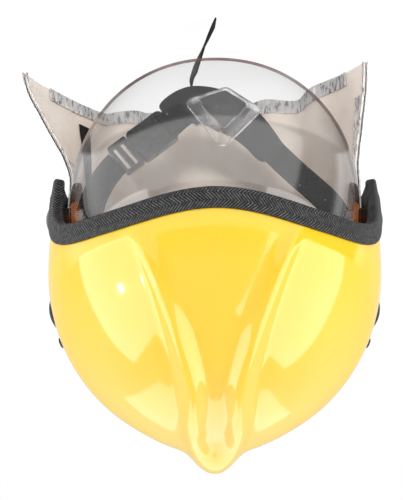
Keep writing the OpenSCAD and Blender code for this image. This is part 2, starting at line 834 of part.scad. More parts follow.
function cape_az(s) = mix(cape_from, 360 - cape_from, s);
function cape_hem_z(s) = -mix(hem_front, hem_back, sin(180 * s));
// Point of the cape at a share s of the way round and t of the way down, at a depth under its outside
function cape_point(s, t, depth) =
    let (az = cape_az(s),
         left = smooth(0.17, 0, s) * smooth(0.3, 1, t),
         right = smooth(0.83, 1, s) * smooth(0.3, 1, t),
         drape = smooth(0.25, 1, t) * sin(180 * s),
         fold = drape * (fold_d * sin(360 * fold_count * s) - 2 * fold_d) - depth,
         way = unit([sin(az) / cape_a, -cos(az) / cape_b]))
    [
        cape_a * sin(az) + way[0] * fold + left * flare_left - right * flare_right,
        -cape_b * cos(az) + way[1] * fold - (left + right) * flare_fore,
        mix(cape_top, cape_hem_z(s), t)
    ];

// Layer of the cape between two shares of its round and of its drop, and between two depths
module cape_layer(s0, s1, t0, t1, near, deep, cols, rows) {
    sheet_skin([
        for (i = [0:cols])
            let (s = mix(s0, s1, i / cols))
            concat(
                [for (j = [0:rows]) cape_point(s, mix(t0, t1, j / rows), near)],
                [for (j = [rows:-1:0]) cape_point(s, mix(t0, t1, j / rows), deep)]
            )
    ]);
}

lining_near = cloth_t + layer_gap;
lining_deep = lining_near + lining_t;
facing_near = lining_deep + layer_gap;
facing_deep = facing_near + lining_t;

module neck_cape() {
    color("silver") cape_layer(0, 1, 0, 1, 0, cloth_t, cape_cols, cape_rows);
}

module cape_lining() {
    color("wheat") cape_layer(0, 1, 0, 1, lining_near, lining_deep, cape_cols, cape_rows);
}

// Folded silver hem on the lining's face
module cape_hem() {
    color("silver")
        cape_layer(hem_start, 1 - hem_start, 1 - 1 / cape_rows, 1, facing_near, facing_deep, cape_cols - 6, 1);
}

// Black hook tape near the left front edge
module cape_tab() {
    color("black") cape_layer(1 / cape_cols, 2 / cape_cols, 0.3, 0.9, facing_near, facing_deep, 1, 6);
}

strip_h = 9;
strip_low = cape_top - strip_h;
// Wall of the strip, from the cape to the shell's inside
strip_t = half_w * (share(strip_low) - share(-flap_drop)) + cape_room - shell_t - 3 * seat;

module cape_strip() {
    steps = 40;
    function rail(out) = [
        for (i = [0:steps])
            let (az = cape_az(i / steps), way = unit([sin(az) / cape_a, -cos(az) / cape_b]))
            [cape_a * sin(az) + way[0] * out, -cape_b * cos(az) + way[1] * out]
    ];
    color("black") translate([0, 0, strip_low]) linear_extrude(strip_h)
        polygon(concat(rail(strip_t + seat), reversed(rail(seat))));
}

// Snaps that fasten the cape to its strip
module cape_snaps() {
    snaps = 8;
    color("silver") for (i = [0:snaps - 1]) {
        s = mix(0.04, 0.96, i / (snaps - 1));
        p = cape_point(s, (strip_h / 2) / (cape_top - cape_hem_z(s)), facing_near);
        az = cape_az(s);
        translate(p) rotate([0, -90, atan2(-cos(az) / cape_b, sin(az) / cape_a)])
            translate([0, 0, 0.3]) rotate_extrude() polygon([[0, 0], [5, 0], [5, 0.8], [3.5, 2], [0, 2]]);
    }
}

// Chin strap. Its pieces lie in one upright plane, drawn in X and Z.

pin_z = -36;
sleeve_r = pin_r + 2;
sleeve_half = strap_w / 2;
flange_r = pin_r + 3.6;
anchor_wall = wall_x(strap_back + flange_r, pin_z - flange_r) - shell_t - 2 * seat;
// Distance of a strap's middle inside the shell's wall
pin_room = 19.5;
pin_x = anchor_wall - pin_room;
insert_at = [70, -96];
body_at = [34, -125];
tuck = 4;
left_route = [[pin_x, pin_z - pin_r], [pin_x + 1, -60], [84, -84], insert_at];
right_route = [[-pin_x, pin_z - pin_r], [-pin_x - 1, -62], [-68, -74], [-45, -102]];
pad_route = [[46, -128], [24, -148], [-14, -150], [-38, -106]];
tail_route = [[17, -158], [15, -172], [10, -186], [-1, -211]];

// Flat shape along a route, with a width at each share of the way
module ribbon(route, widths) {
    steps = 16;
    function rail(k) = [
        for (i = [0:steps])
            let (t = i / steps, w = bezier_way(route, t))
            bezier(route, t) + k * widths[i] / 2 * [-w[1], w[0]]
    ];
    polygon(concat(rail(1), reversed(rail(-1))));
}

function even(w) = [for (i = [0:16]) w];
pad_widths = [for (i = [0:16]) mix(mix(14, chin_pad_w, smooth(0, 0.4, i / 16)), 24, smooth(0.65, 1, i / 16))];

// Stands a drawing in X and Z upright in the strap's plane
module upright(t, y = strap_back) {
    translate([0, y + t / 2, 0]) rotate([90, 0, 0]) linear_extrude(t) children();
}

module sleeve(side) {
    translate([side * pin_x, strap_back, pin_z]) rotate([0, 90, 0])
        cylinder(r = sleeve_r, h = 2 * sleeve_half, center = true);
}

module sleeve_bore(side) {
    translate([side * pin_x, strap_back, pin_z]) rotate([0, 90, 0])
        cylinder(r = pin_r + run, h = 2 * sleeve_half + 2 * over, center = true);
}

module strap_pins() {
    head_x = pin_x - sleeve_half - seat;
    flange_t = 2;
    color("silver") both_sides() translate([0, strap_back, pin_z]) rotate([0, 90, 0]) {
        translate([0, 0, head_x]) cylinder(r = pin_r, h = anchor_wall - head_x);
        translate([0, 0, head_x - 1.5]) cylinder(r = sleeve_r, h = 1.5);
        translate([0, 0, anchor_wall - flange_t]) cylinder(r = flange_r, h = flange_t);
    }
}

module strap_left() {
    color("black") difference() {
        union() {
            sleeve(1);
            upright(strap_t) difference() {
                ribbon(left_route, even(strap_w));
                buckle_zone(-tuck - seat);
            }
        }
        sleeve_bore(1);
    }
}

module strap_right() {
    color("black") difference() {
        union() {
            sleeve(-1);
            translate([0, -chin_pad_t / 2 - strap_t / 2 - seat, 0]) upright(strap_t) ribbon(right_route, even(strap_w));
            sleeve_tail();
        }
        sleeve_bore(-1);
    }
}

// Short run of webbing that joins the right sleeve to its strap
module sleeve_tail() {
    step = chin_pad_t / 2 + strap_t / 2 + seat;
    translate([-pin_x - sleeve_half, strap_back - step - strap_t / 2, pin_z - sleeve_r])
        cube([2 * sleeve_half, step + strap_t, 2]);
}

module strap_tail() {
    color("black") upright(strap_w) ribbon(tail_route, even(strap_t));
}

module chin_pad() {
    color("black") upright(chin_pad_t) difference() {
        ribbon(pad_route, pad_widths);
        buckle_zone(buckle_len + seat);
    }
}

// Clear cup in front of the pad: a tapered tray with rounded corners, open to the chin
module chin_cup() {
    centre = [-7, -132];
    corners = [[22, -9], [-2, -17], [-22, -3], [0, 20]];
    front = strap_back - chin_pad_t / 2 - seat;
    color("gainsboro", 0.6) translate([centre[0], front, centre[1]]) rotate([90, 0, 0]) difference() {
        linear_extrude(cup_d, scale = 0.66) offset(r = 6, $fn = 24) polygon(corners);
        translate([0, 0, -0.01]) linear_extrude(cup_d - cup_t, scale = 0.66)
            offset(r = 6 - cup_t, $fn = 24) polygon(corners);
    }
}

// Side-release buckle, drawn along its own axis from the insert's middle bar to the body's bar

buckle_dir = unit(body_at - insert_at);
buckle_len = norm(body_at - insert_at);
buckle_turn = atan2(buckle_dir[1], buckle_dir[0]);
mouth = 13;
frame_t = 5;
slot_w = 3.2;
guide_half = 2.2;
prong_in = guide_half + prong_travel + 1.3;
prong_wall = 3;
prong_half_t = buckle_t / 2 - buckle_wall - seat;
window = [22, 34];
hook_out = buckle_w / 2 + 0.6;

// Lays a drawing along the buckle's axis, in its own thickness
module at_buckle() {
    translate([insert_at[0], strap_back, insert_at[1]]) rotate([90, 0, 0]) rotate([0, 0, buckle_turn]) children();
}

// Drawing of all that lies beyond one end of the buckle, to trim webbing to it
module buckle_zone(from) {
    translate(insert_at) rotate([0, 0, buckle_turn])
        translate(from < 0 ? [from, -60] : [from - 60, -60]) square([from < 0 ? 120 : 60, 120]);
}

module rounded(l, w, r) {
    translate([0, r - w / 2]) square([l, w - 2 * r]);
    translate([r, -w / 2]) square([l - 2 * r, w]);
    for (x = [r, l - r], y = [-1, 1]) translate([x, y * (w / 2 - r)]) circle(r = r);
}

// Insert: a frame with two ladder slots and the tongue that guides it into the body
module buckle_insert() {
    slot_len = strap_w + 0.6;
    color("black") at_buckle() {
        translate([0, 0, -frame_t / 2]) linear_extrude(frame_t) difference() {
            translate([-tuck, 0]) rounded(mouth - seat + tuck, buckle_w, 2);
            for (x = [-1.4, 5.6]) translate([x, -slot_len / 2]) square([slot_w, slot_len]);
        }
        translate([mouth - over, -guide_half, -guide_half]) cube([window[1] - mouth, 2 * guide_half, 2 * guide_half]);
    }
}

module buckle_body() {
    inner_w = buckle_w - 2 * buckle_wall;
    inner_t = buckle_t - 2 * buckle_wall;
    far = buckle_len;
    color("black") at_buckle() difference() {
        translate([mouth, 0, -buckle_t / 2]) linear_extrude(buckle_t) rounded(far - mouth, buckle_w, 4);
        translate([mouth - over, -inner_w / 2, -inner_t / 2]) cube([window[1] + 2 - mouth + over, inner_w, inner_t]);
        translate([window[0], -buckle_w, -inner_t / 2]) cube([window[1] - window[0], 2 * buckle_w, inner_t]);
        translate([far - 3 - slot_w, -strap_w / 2 - 0.3, -buckle_t]) cube([slot_w, strap_w + 0.6, 2 * buckle_t]);
    }
}

// Prong with its thumb pad, on one side of the guide
module prong(side) {
    pad = [window[0] + seat * 2, window[1] - seat * 2];
    at_buckle() translate([0, 0, -prong_half_t]) linear_extrude(2 * prong_half_t) mirror([0, side > 0 ? 0 : 1]) union() {
        translate([mouth, prong_in]) square([pad[1] - mouth - 2, prong_wall]);
        translate([pad[0], prong_in]) polygon([
            [0, 0], [pad[1] - pad[0] - 3, 0], [pad[1] - pad[0], 3], [pad[1] - pad[0], hook_out - prong_in - 1],
            [pad[1] - pad[0] - 1, hook_out - prong_in], [1, hook_out - prong_in], [0, hook_out - prong_in - 1]
        ]);
    }
}

module prong_upper() {
    color("black") prong(-1);
}

module prong_lower() {
    color("black") prong(1);
}

outer_shell();
edge_trim();
impact_liner();
headband();
sweatband();
crown_strap_left();
crown_strap_right();
crown_pad();
band_hangers();
ratchet_housing();
ratchet_knob();
ratchet_pinion();
rack_left();
rack_right();
nape_pad();
visor();
pivot_cover_left();
pivot_cover_right();
pivot_bolts();
pivot_spacers();
pivot_washers();
pivot_nuts();
side_fitting_left();
side_fitting_right();
side_fixings();
neck_cape();
cape_lining();
cape_hem();
cape_tab();
cape_strip();
cape_snaps();
strap_pins();
strap_left();
strap_right();
strap_tail();
chin_pad();
chin_cup();
buckle_body();
buckle_insert();
prong_upper();
prong_lower();
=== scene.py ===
import math

import bpy
import numpy as np
from mathutils import Matrix, Vector, noise


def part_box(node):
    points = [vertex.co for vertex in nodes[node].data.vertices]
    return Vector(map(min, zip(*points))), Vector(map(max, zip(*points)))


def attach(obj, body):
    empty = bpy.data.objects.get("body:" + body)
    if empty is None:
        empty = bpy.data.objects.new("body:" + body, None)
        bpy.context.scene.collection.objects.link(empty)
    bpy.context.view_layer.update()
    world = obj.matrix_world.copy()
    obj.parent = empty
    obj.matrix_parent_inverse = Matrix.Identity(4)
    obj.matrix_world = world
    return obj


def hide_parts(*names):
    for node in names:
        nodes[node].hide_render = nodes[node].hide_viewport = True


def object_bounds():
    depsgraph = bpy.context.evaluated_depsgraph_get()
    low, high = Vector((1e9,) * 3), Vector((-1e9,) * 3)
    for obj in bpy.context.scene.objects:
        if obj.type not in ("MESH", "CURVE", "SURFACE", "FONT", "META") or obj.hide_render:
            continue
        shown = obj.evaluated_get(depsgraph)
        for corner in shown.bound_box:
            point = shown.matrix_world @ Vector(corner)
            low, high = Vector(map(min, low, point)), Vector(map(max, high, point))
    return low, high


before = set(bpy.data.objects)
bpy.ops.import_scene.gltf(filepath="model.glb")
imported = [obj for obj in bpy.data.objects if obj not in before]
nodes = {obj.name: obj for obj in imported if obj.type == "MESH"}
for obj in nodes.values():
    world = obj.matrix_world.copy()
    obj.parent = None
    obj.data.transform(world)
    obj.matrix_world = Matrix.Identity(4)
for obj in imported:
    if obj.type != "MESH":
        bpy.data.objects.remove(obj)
cad_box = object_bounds()
MM = 0.001
WELD_REACH = 1e-6

# Small numeric helpers, in millimetres and degrees


def smooth(a, b, v):
    """Eased step from 0 at a to 1 at b."""
    t = np.clip((np.asarray(v, float) - a) / (b - a), 0, 1)
    return t * t * (3 - 2 * t)


def mix(p, q, t):
    return p + (q - p) * t


def sind(a):
    return np.sin(np.radians(a))


def cosd(a):
    return np.cos(np.radians(a))


def unit(v):
    return v / np.linalg.norm(v, axis=-1, keepdims=True)


def layered(p, octaves=3):
    """Layered noise, each octave at twice the rate of the one before."""
    fade, rate = 1.0, 2.0
    return noise.fractal(Vector(p), fade, rate, octaves)


def run_along(points):
    """Distance along a line from its first point to each of its points."""
    return np.concatenate([[0], np.cumsum(np.linalg.norm(np.diff(points, axis=0), axis=1))])


def bezier(route, t):
    p = np.array(route, float)
    t = np.asarray(t, float)[..., None]
    return (1 - t) ** 3 * p[0] + 3 * (1 - t) ** 2 * t * p[1] + 3 * (1 - t) * t * t * p[2] + t ** 3 * p[3]


def bezier_way(route, t):
    p = np.array(route, float)
    t = np.asarray(t, float)[..., None]
    return unit((1 - t) ** 2 * (p[1] - p[0]) + 2 * (1 - t) * t * (p[2] - p[1]) + t * t * (p[3] - p[2]))


# Meshes

STRIP_SIDES = 20
STRIP_FLAT = 0.25
STRIP_ROUND = 0.6


def place(name, data):
    obj = bpy.data.objects.new(name, data)
    bpy.context.scene.collection.objects.link(obj)
    return obj


def make(name, verts, faces, uvs=None, mats=(), index=None, body="helmet"):
    """New smooth mesh object from millimetre points. uvs holds one pair per face corner."""
    mesh = bpy.data.meshes.new(name)
    points = [tuple(MM * float(c) for c in v) for v in verts]
    mesh.from_pydata(points, [], [tuple(map(int, f)) for f in faces])
    if uvs is not None:
        layer = mesh.uv_layers.new(name="UVMap")
        layer.data.foreach_set("uv", np.asarray(uvs, np.float32).ravel())
    for mat in mats:
        mesh.materials.append(mat)
    if index is not None:
        mesh.polygons.foreach_set("material_index", index)
    mesh.polygons.foreach_set("use_smooth", [True] * len(mesh.polygons))
    mesh.update()
    obj = place(name, mesh)
    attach(obj, body)
    return obj


def weld(obj, reach=WELD_REACH):
    obj.modifiers.new("weld", "WELD").merge_threshold = reach


def rounded(obj):
    obj.modifiers.new("round", "SUBSURF").render_levels = 1


def grid(points, wrap_i=False, wrap_j=False, flip=False, uv=None):
    """Verts, quads and corner uvs of a grid of points[i][j]."""
    n, m = points.shape[:2]
    faces, uvs = [], []
    for i in range(n if wrap_i else n - 1):
        for j in range(m if wrap_j else m - 1):
            ring = [(i, j), (i + 1, j), (i + 1, j + 1), (i, j + 1)]
            if flip:
                ring.reverse()
            faces.append([(a % n) * m + b % m for a, b in ring])
            if uv is not None:
                uvs += [uv(a, b) for a, b in ring]
    return points.reshape(-1, 3), faces, uvs


def joined(parts):
    """Verts, faces, uvs and material numbers of several (points, faces, uvs, material) put together."""
    verts, faces, uvs, index = [], [], [], []
    for part_points, part_faces, part_uvs, material in parts:
        base = len(verts)
        verts += [tuple(v) for v in part_points]
        faces += [[base + c for c in f] for f in part_faces]
        uvs += list(part_uvs) if len(part_uvs) else [(0, 0)] * sum(len(f) for f in part_faces)
        index += [material] * len(part_faces)
    return verts, faces, uvs, index


def two_faced(face, back, edge=0):
    """Parts of a closed sheet: its face, its back and four edges, whose material number is edge."""
    parts = [(*grid(face), 0), (*grid(back, flip=True), 0)]
    pairs = ((back[0], face[0]), (face[-1], back[-1]), (face[:, 0], back[:, 0]), (back[:, -1], face[:, -1]))
    return parts + [(*grid(np.array(pair)), edge) for pair in pairs]


def closed(face, back):
    """Verts and faces of a closed sheet."""
    return joined(two_faced(face, back))[:2]


def bridge(ring, other):
    """Quads between two closed rings of verts."""
    n = len(ring)
    return [[ring[i], ring[(i + 1) % n], other[(i + 1) % n], other[i]] for i in range(n)]


def solid_strip(line, wide, thick, half_w, half_t):
    """Closed webbing: centre points, width and thickness directions, half sizes, with rounded edges."""
    cross = []
    for a in np.linspace(0, 360, STRIP_SIDES, endpoint=False):
        c, s = cosd(a), sind(a)
        cross.append((np.sign(c) * abs(c) ** STRIP_FLAT, np.sign(s) * abs(s) ** STRIP_ROUND))
    n, m = len(line), len(cross)
    rows = [[line[i] + wide[i] * half_w * x + thick[i] * half_t * y for x, y in cross] for i in range(n)]
    run = run_along(line)

    def uv(i, j):
        return (run[i] * MM, cross[j % m][0] * half_w * MM)

    verts, faces, uvs = grid(np.array(rows), wrap_j=True, uv=uv)
    ends = [list(range(m)), list(range((n - 1) * m, n * m))[::-1]]
    return verts, faces + ends, uvs + [(0, 0)] * (2 * m)


# Materials

MIX_FIRST, MIX_SECOND, MIX_RESULT = 6, 7, 2


def srgb(r, g, b):
    """Linear colour from 8-bit screen values."""
    def linear(c):
        c /= 255
        return c / 12.92 if c <= 0.04045 else ((c + 0.055) / 1.055) ** 2.4
    return (linear(r), linear(g), linear(b), 1)


def grey(v):
    return srgb(v, v, v)


class Nodes:
    """Node tree built step by step."""

    def __init__(self, tree):
        self.tree = tree
        tree.nodes.clear()

    def add(self, kind, **settings):
        n = self.tree.nodes.new("ShaderNode" + kind)
        for name, value in settings.items():
            setattr(n, name, value)
        return n

    def wire(self, a, b):
        self.tree.links.new(a, b)

    def put(self, socket, value):
        if isinstance(value, bpy.types.NodeSocket):
            self.wire(value, socket)
        else:
            socket.default_value = value

    def coord(self, kind="Object"):
        return self.add("TexCoord").outputs[kind]

    def tilt(self):
        """How far the surface turns away from the ray, for gloss and clear plastic."""
        return self.add("LayerWeight").outputs["Facing"]

    def ray(self, kind):
        return self.add("LightPath").outputs[kind]

    def seen(self):
        """1 for what the camera sees, straight or through the cup, and 0 for mirrors and light."""
        return self.math("MAXIMUM", self.ray("Is Camera Ray"), self.ray("Is Transmission Ray"))

    def math(self, op, a, b=0.0, c=0.0):
        n = self.add("Math", operation=op)
        for socket, value in zip(n.inputs, (a, b, c)):
            self.put(socket, value)
        return n.outputs[0]

    def times(self, a, b):
        return self.math("MULTIPLY", a, b)

    def scale(self, vec, by):
        n = self.add("Mapping")
        self.put(n.inputs["Vector"], vec)
        n.inputs["Scale"].default_value = by
        return n.outputs[0]

    def noise(self, vec, scale, detail=3.0, rough=0.5):
        n = self.add("TexNoise")
        self.put(n.inputs["Vector"], vec)
        n.inputs["Scale"].default_value = scale
        n.inputs["Detail"].default_value = detail
        n.inputs["Roughness"].default_value = rough
        return n.outputs[0]

    def voronoi(self, vec, scale, feature="F1"):
        n = self.add("TexVoronoi", feature=feature)
        self.put(n.inputs["Vector"], vec)
        n.inputs["Scale"].default_value = scale
        return n.outputs["Distance"]

    def split(self, vec):
        n = self.add("SeparateXYZ")
        self.put(n.inputs[0], vec)
        return n.outputs

    def ramp(self, fac, *stops):
        n = self.add("ValToRGB")
        self.put(n.inputs[0], fac)
        elements = n.color_ramp.elements
        while len(elements) < len(stops):
            elements.new(0.5)
        for element, (position, colour) in zip(elements, stops):
            element.position = position
            element.color = colour
        return n.outputs[0]

    def span(self, value, from_low, from_high, to_low, to_high):
        n = self.add("MapRange")
        for socket, x in zip(n.inputs, (value, from_low, from_high, to_low, to_high)):
            self.put(socket, x)
        return n.outputs[0]

    def blend(self, fac, a, b):
        n = self.add("Mix", data_type="RGBA")
        self.put(n.inputs[0], fac)
        self.put(n.inputs[MIX_FIRST], a)
        self.put(n.inputs[MIX_SECOND], b)
        return n.outputs[MIX_RESULT]

    def bump(self, height, strength, distance, onto=None):
        n = self.add("Bump")
        self.put(n.inputs["Height"], height)
        n.inputs["Strength"].default_value = strength
        n.inputs["Distance"].default_value = distance
        if onto is not None:
            self.wire(onto, n.inputs["Normal"])
        return n.outputs[0]

    def mixed(self, fac, first, second):
        """Mix of two shaders."""
        n = self.add("MixShader")
        self.put(n.inputs[0], fac)
        self.wire(first, n.inputs[1])
        self.wire(second, n.inputs[2])
        return n.outputs[0]


class Look(Nodes):
    """Material that starts as one principled shader."""

    def __init__(self, name):
        self.mat = bpy.data.materials.new(name)
        self.mat.use_nodes = True
        super().__init__(self.mat.node_tree)
        self.out = self.add("OutputMaterial")
        self.bsdf = self.add("BsdfPrincipled")
        self.show(self.bsdf.outputs[0])

    def set(self, **values):
        for name, value in values.items():
            self.put(self.bsdf.inputs[name.replace("_", " ")], value)

    def show(self, shader):
        self.wire(shader, self.out.inputs["Surface"])


def shell_paint():
    look = Look("shell_paint")
    p = look.coord()
    # The lacquer's mirror is held back where the shell turns away, so that its colour reaches the outline.
    tilt = look.tilt()
    turning = (0.45, 0.85)
    look.set(
        Base_Color=look.ramp(look.noise(p, 9, 2), (0.3, srgb(252, 208, 8)), (0.7, srgb(253, 213, 12))),
        Roughness=look.span(look.noise(p, 60, 4), 0.3, 0.7, 0.10, 0.16),
        Specular_IOR_Level=look.span(tilt, *turning, 0.5, 0.05),
        Coat_Weight=look.span(tilt, *turning, 1.0, 0.1),
        Coat_Roughness=0.05, Coat_IOR=1.5, Normal=look.bump(look.noise(p, 420, 1), 0.04, 0.0002))
    return look.mat


def shell_inside():
    """Bare laminate: the shell's yellow in a darker orange that is partly painted shade, with a painted glow
    (a small emission) for the daylight that comes through the wall.
    """
    look = Look("shell_inside")
    p = look.coord()
    look.set(
        Base_Color=look.ramp(look.noise(p, 40, 4), (0.3, srgb(226, 132, 22)), (0.7, srgb(240, 156, 30))),
        Roughness=0.5, Normal=look.bump(look.noise(p, 700, 3), 0.2, 0.0004),
        # Painted light: an orange glow in place of the daylight that shines through the wall.
        Emission_Color=srgb(255, 132, 16), Emission_Strength=0.3)
    return look.mat


def trim_rubber():
    """Rows of slanting ribs, turned the other way in each row."""
    look = Look("trim_rubber")
    row_height, rib_pitch, lean = 0.0056, 0.0022, 2.4
    u, v, _ = look.split(look.coord("UV"))
    row = look.times(v, 1 / row_height)
    side = look.math("PINGPONG", row, 1.0)
    slant = look.math("ADD", look.times(u, 1 / rib_pitch), look.times(side, lean))
    rib = look.span(look.math("PINGPONG", look.math("FRACT", slant), 0.5), 0.16, 0.34, 0.0, 1.0)
    gap = look.span(look.math("PINGPONG", row, 0.5), 0.0, 0.05, 0.35, 1.0)
    height = look.times(rib, gap)
    p = look.coord()
    grain = look.noise(p, 900, 3)
    # Painted light over black rubber: the lighter grey rib tops are painted highlight, and the near-black
    # grooves and row seams are painted shade.
    ridge_painted_light = look.ramp(look.noise(p, 420, 3), (0.35, grey(58)), (0.65, grey(106)))
    look.set(
        Base_Color=look.blend(height, grey(6), ridge_painted_light),
        Roughness=look.span(grain, 0.3, 0.7, 0.5, 0.66), Specular_IOR_Level=0.3,
        Normal=look.bump(height, 0.8, 0.0008, look.bump(grain, 0.2, 0.0003)))
    return look.mat


def visor_clear():
    """See-through plastic: a mirror film on each face that grows at a glancing angle, and a trace of haze."""
    look = Look("visor_clear")
    tint, painted_shade_tint = (0.99, 0.99, 0.99, 1), (0.86, 0.855, 0.85, 1)
    mirror, haze, wear = 0.09, 0.008, 0.02
    shade_from, shade_full = -0.0668, -0.0648
    climb_from, climb = 0.065, 20.0
    smear = look.noise(look.coord(), 26, 5, 0.6)
    # Painted shade: what is seen through the visor is tinted grey above a level line, which climbs towards
    # the left ear
    x, _, z = look.split(look.coord())
    past = look.math("MAXIMUM", look.math("SUBTRACT", x, climb_from), 0.0)
    level = look.math("SUBTRACT", z, look.times(look.times(past, past), climb))
    see = look.add("BsdfTransparent")
    look.put(see.inputs[0], look.blend(look.span(level, shade_from, shade_full, 0.0, 1.0), tint, painted_shade_tint))
    gloss = look.add("BsdfGlossy")
    look.put(gloss.inputs["Roughness"], look.span(smear, 0.45, 0.8, 0.0, wear))
    shine = look.math("MULTIPLY_ADD", look.math("POWER", look.tilt(), 5.0), 1 - mirror, mirror)
    # A shadow ray meets no mirror, so that light passes.
    shine = look.times(shine, look.math("SUBTRACT", 1.0, look.ray("Is Shadow Ray")))
    film = look.mixed(shine, see.outputs[0], gloss.outputs[0])
    look.set(Base_Color=tint, Roughness=0.5)
    look.show(look.mixed(look.span(smear, 0.35, 0.8, haze * 0.4, haze), film, look.bsdf.outputs[0]))
    return look.mat


def visor_edge():
    look = Look("visor_edge")
    p = look.coord()
    look.set(
        Base_Color=look.ramp(look.noise(p, 90, 3), (0.3, srgb(52, 30, 22)), (0.7, srgb(112, 70, 52))),
        Roughness=0.28, Coat_Weight=0.3)
    see = look.add("BsdfTransparent")
    cover = look.span(look.noise(p, 30, 3), 0.3, 0.7, 0.7, 0.95)
    look.show(look.mixed(cover, see.outputs[0], look.bsdf.outputs[0]))
    return look.mat


def cup_clear():
    """Thick clear plastic that bends what is seen through it, and is white where it is seen edge on: a
    painted reflection of the bright surroundings, in streaks.
    """
    look = Look("cup_clear")
    p = look.coord()
    look.set(
        Base_Color=(0.97, 0.98, 0.98, 1), Transmission_Weight=1.0, IOR=1.6,
        Roughness=look.span(look.noise(p, 120, 4), 0.45, 0.8, 0.0, 0.06),
        Normal=look.bump(look.noise(p, 45, 2), 0.3, 0.0014))
    # Painted reflection: a white shader mixed in, in streaks, where the walls turn away from the view.
    painted_reflection = look.add("BsdfPrincipled")
    painted_reflection.inputs["Base Color"].default_value = (0.9, 0.9, 0.91, 1)
    painted_reflection.inputs["Roughness"].default_value = 0.12
    streak = look.span(look.noise(p, 60, 3), 0.4, 0.6, 0.2, 1.0)
    edge_on = look.times(streak, look.span(look.tilt(), 0.24, 0.55, 0.0, 0.8))
    body = look.mixed(edge_on, look.bsdf.outputs[0], painted_reflection.outputs[0])
    see = look.add("BsdfTransparent")
    look.show(look.mixed(look.ray("Is Shadow Ray"), body, see.outputs[0]))
    return look.mat


def plastic(name, low, high, rough, coat=0.0, grain=500, depth=0.0002, shine=0.5):
    look = Look(name)
    p = look.coord()
    look.set(
        Base_Color=look.ramp(look.noise(p, 60, 4), (0.35, low), (0.7, high)),
        Roughness=look.span(look.noise(p, 140, 4), 0.3, 0.7, rough * 0.85, rough * 1.15),
        Specular_IOR_Level=shine, Coat_Weight=coat, Coat_Roughness=0.08,
        Normal=look.bump(look.noise(p, grain, 3), 0.25, depth))
    return look.mat


def foam():
    look = Look("foam")
    bead = look.voronoi(look.coord(), 260)
    look.set(
        Base_Color=look.blend(bead, grey(40), grey(66)), Roughness=0.9,
        Normal=look.bump(bead, 0.6, 0.0015))
    return look.mat


def webbing():
    """Webbing with its yarns along the strip's uv, pale flecks and two rows of stitching."""
    look = Look("webbing")
    yarn_length, yarn_width = 0.0014, 0.0011
    stitch_row, stitch_pitch = 0.0082, 0.0032
    u, v, _ = look.split(look.coord("UV"))
    column = look.times(v, 1 / yarn_width)
    step = look.times(look.math("FLOOR", column), 0.5)
    place = look.math("FRACT", look.math("ADD", look.times(u, 1 / yarn_length), step))
    along = look.times(look.math("PINGPONG", place, 0.5), 2.0)
    across = look.times(look.math("PINGPONG", look.math("FRACT", column), 0.5), 2.0)
    height = look.times(look.math("POWER", along, 0.6), look.math("POWER", across, 0.5))
    fleck = look.span(look.voronoi(look.coord(), 190), 0.05, 0.10, 0.9, 0.0)
    cloth = look.blend(fleck, look.blend(height, grey(11), grey(19)), grey(225))
    off_row = look.math("ABSOLUTE", look.math("SUBTRACT", look.math("ABSOLUTE", v), stitch_row))
    dash = look.math("GREATER_THAN", look.math("FRACT", look.times(u, 1 / stitch_pitch)), 0.3)
    thread = look.times(look.span(off_row, 0.0003, 0.0005, 1.0, 0.0), dash)
    look.set(
        Base_Color=look.blend(thread, cloth, grey(44)), Roughness=0.75, Sheen_Weight=0.05,
        Specular_IOR_Level=0.25, Normal=look.bump(look.math("ADD", height, thread), 0.35, 0.0005))
    return look.mat


def pad_cloth():
    look = Look("pad_cloth")
    cell = 0.0011
    p = look.coord()
    knit = look.voronoi(look.scale(p, (1 / cell, 1 / cell, 1 / cell)), 1.0)
    fleck = look.span(look.voronoi(p, 330), 0.0, 0.12, 0.35, 0.0)
    base = look.blend(look.noise(p, 70, 4), grey(22), grey(36))
    look.set(
        Base_Color=look.blend(fleck, base, grey(150)), Roughness=0.72, Sheen_Weight=0.15,
        Normal=look.bump(knit, 0.5, 0.0005, look.bump(look.noise(p, 90, 3), 0.25, 0.002)))
    return look.mat


def leather():
    look = Look("leather")
    p = look.coord()
    cell = look.voronoi(p, 700)
    look.set(
        Base_Color=look.ramp(look.noise(p, 50, 5), (0.3, srgb(70, 42, 26)), (0.75, srgb(112, 72, 44))),
        Roughness=look.span(cell, 0.0, 0.6, 0.62, 0.42), Normal=look.bump(cell, 0.5, 0.0006))
    return look.mat


def foil(name, low, high, drawn, depth):
    """Aluminised cloth: crumpled bright film over a fine weave, its dents drawn out along Z."""
    look = Look(name)
    yarn_rate = 5200
    p = look.coord()
    q = look.scale(p, (1, 1, drawn))
    crease = look.voronoi(q, 170, "DISTANCE_TO_EDGE")
    dents = look.noise(q, 260, 4, 0.6)
    x, _, z = look.split(p)
    weave = look.times(*(look.math("SINE", look.times(axis, yarn_rate)) for axis in (x, z)))
    normal = look.bump(weave, 0.15, 0.0002)
    normal = look.bump(dents, depth, 0.002, normal)
    normal = look.bump(crease, depth * 0.7, 0.0016, normal)
    # Painted shade and painted glints: the colour is darker in the dents and brighter on the crests of the
    # same crumples.
    look.set(
        Base_Color=look.ramp(dents, (0.3, grey(low)), (0.46, grey(high - 22)), (0.62, grey(high))),
        Metallic=0.5, Roughness=look.span(dents, 0.3, 0.7, 0.2, 0.42), Normal=normal)
    return look.mat


def lining():
    look = Look("cape_lining")
    twill_rate, twill_rise = 5600, 0.8
    p = look.coord()
    x, y, z = look.split(p)
    slope = look.math("ADD", look.math("ADD", x, y), look.times(z, twill_rise))
    twill = look.math("SINE", look.times(slope, twill_rate))
    soft = look.noise(p, 34, 5, 0.6)
    look.set(
        Base_Color=look.ramp(soft, (0.3, srgb(228, 215, 202)), (0.75, srgb(244, 236, 228))),
        Roughness=0.85, Sheen_Weight=0.3,
        Normal=look.bump(twill, 0.18, 0.0003, look.bump(look.noise(p, 110, 3), 0.3, 0.0022)))
    return look.mat


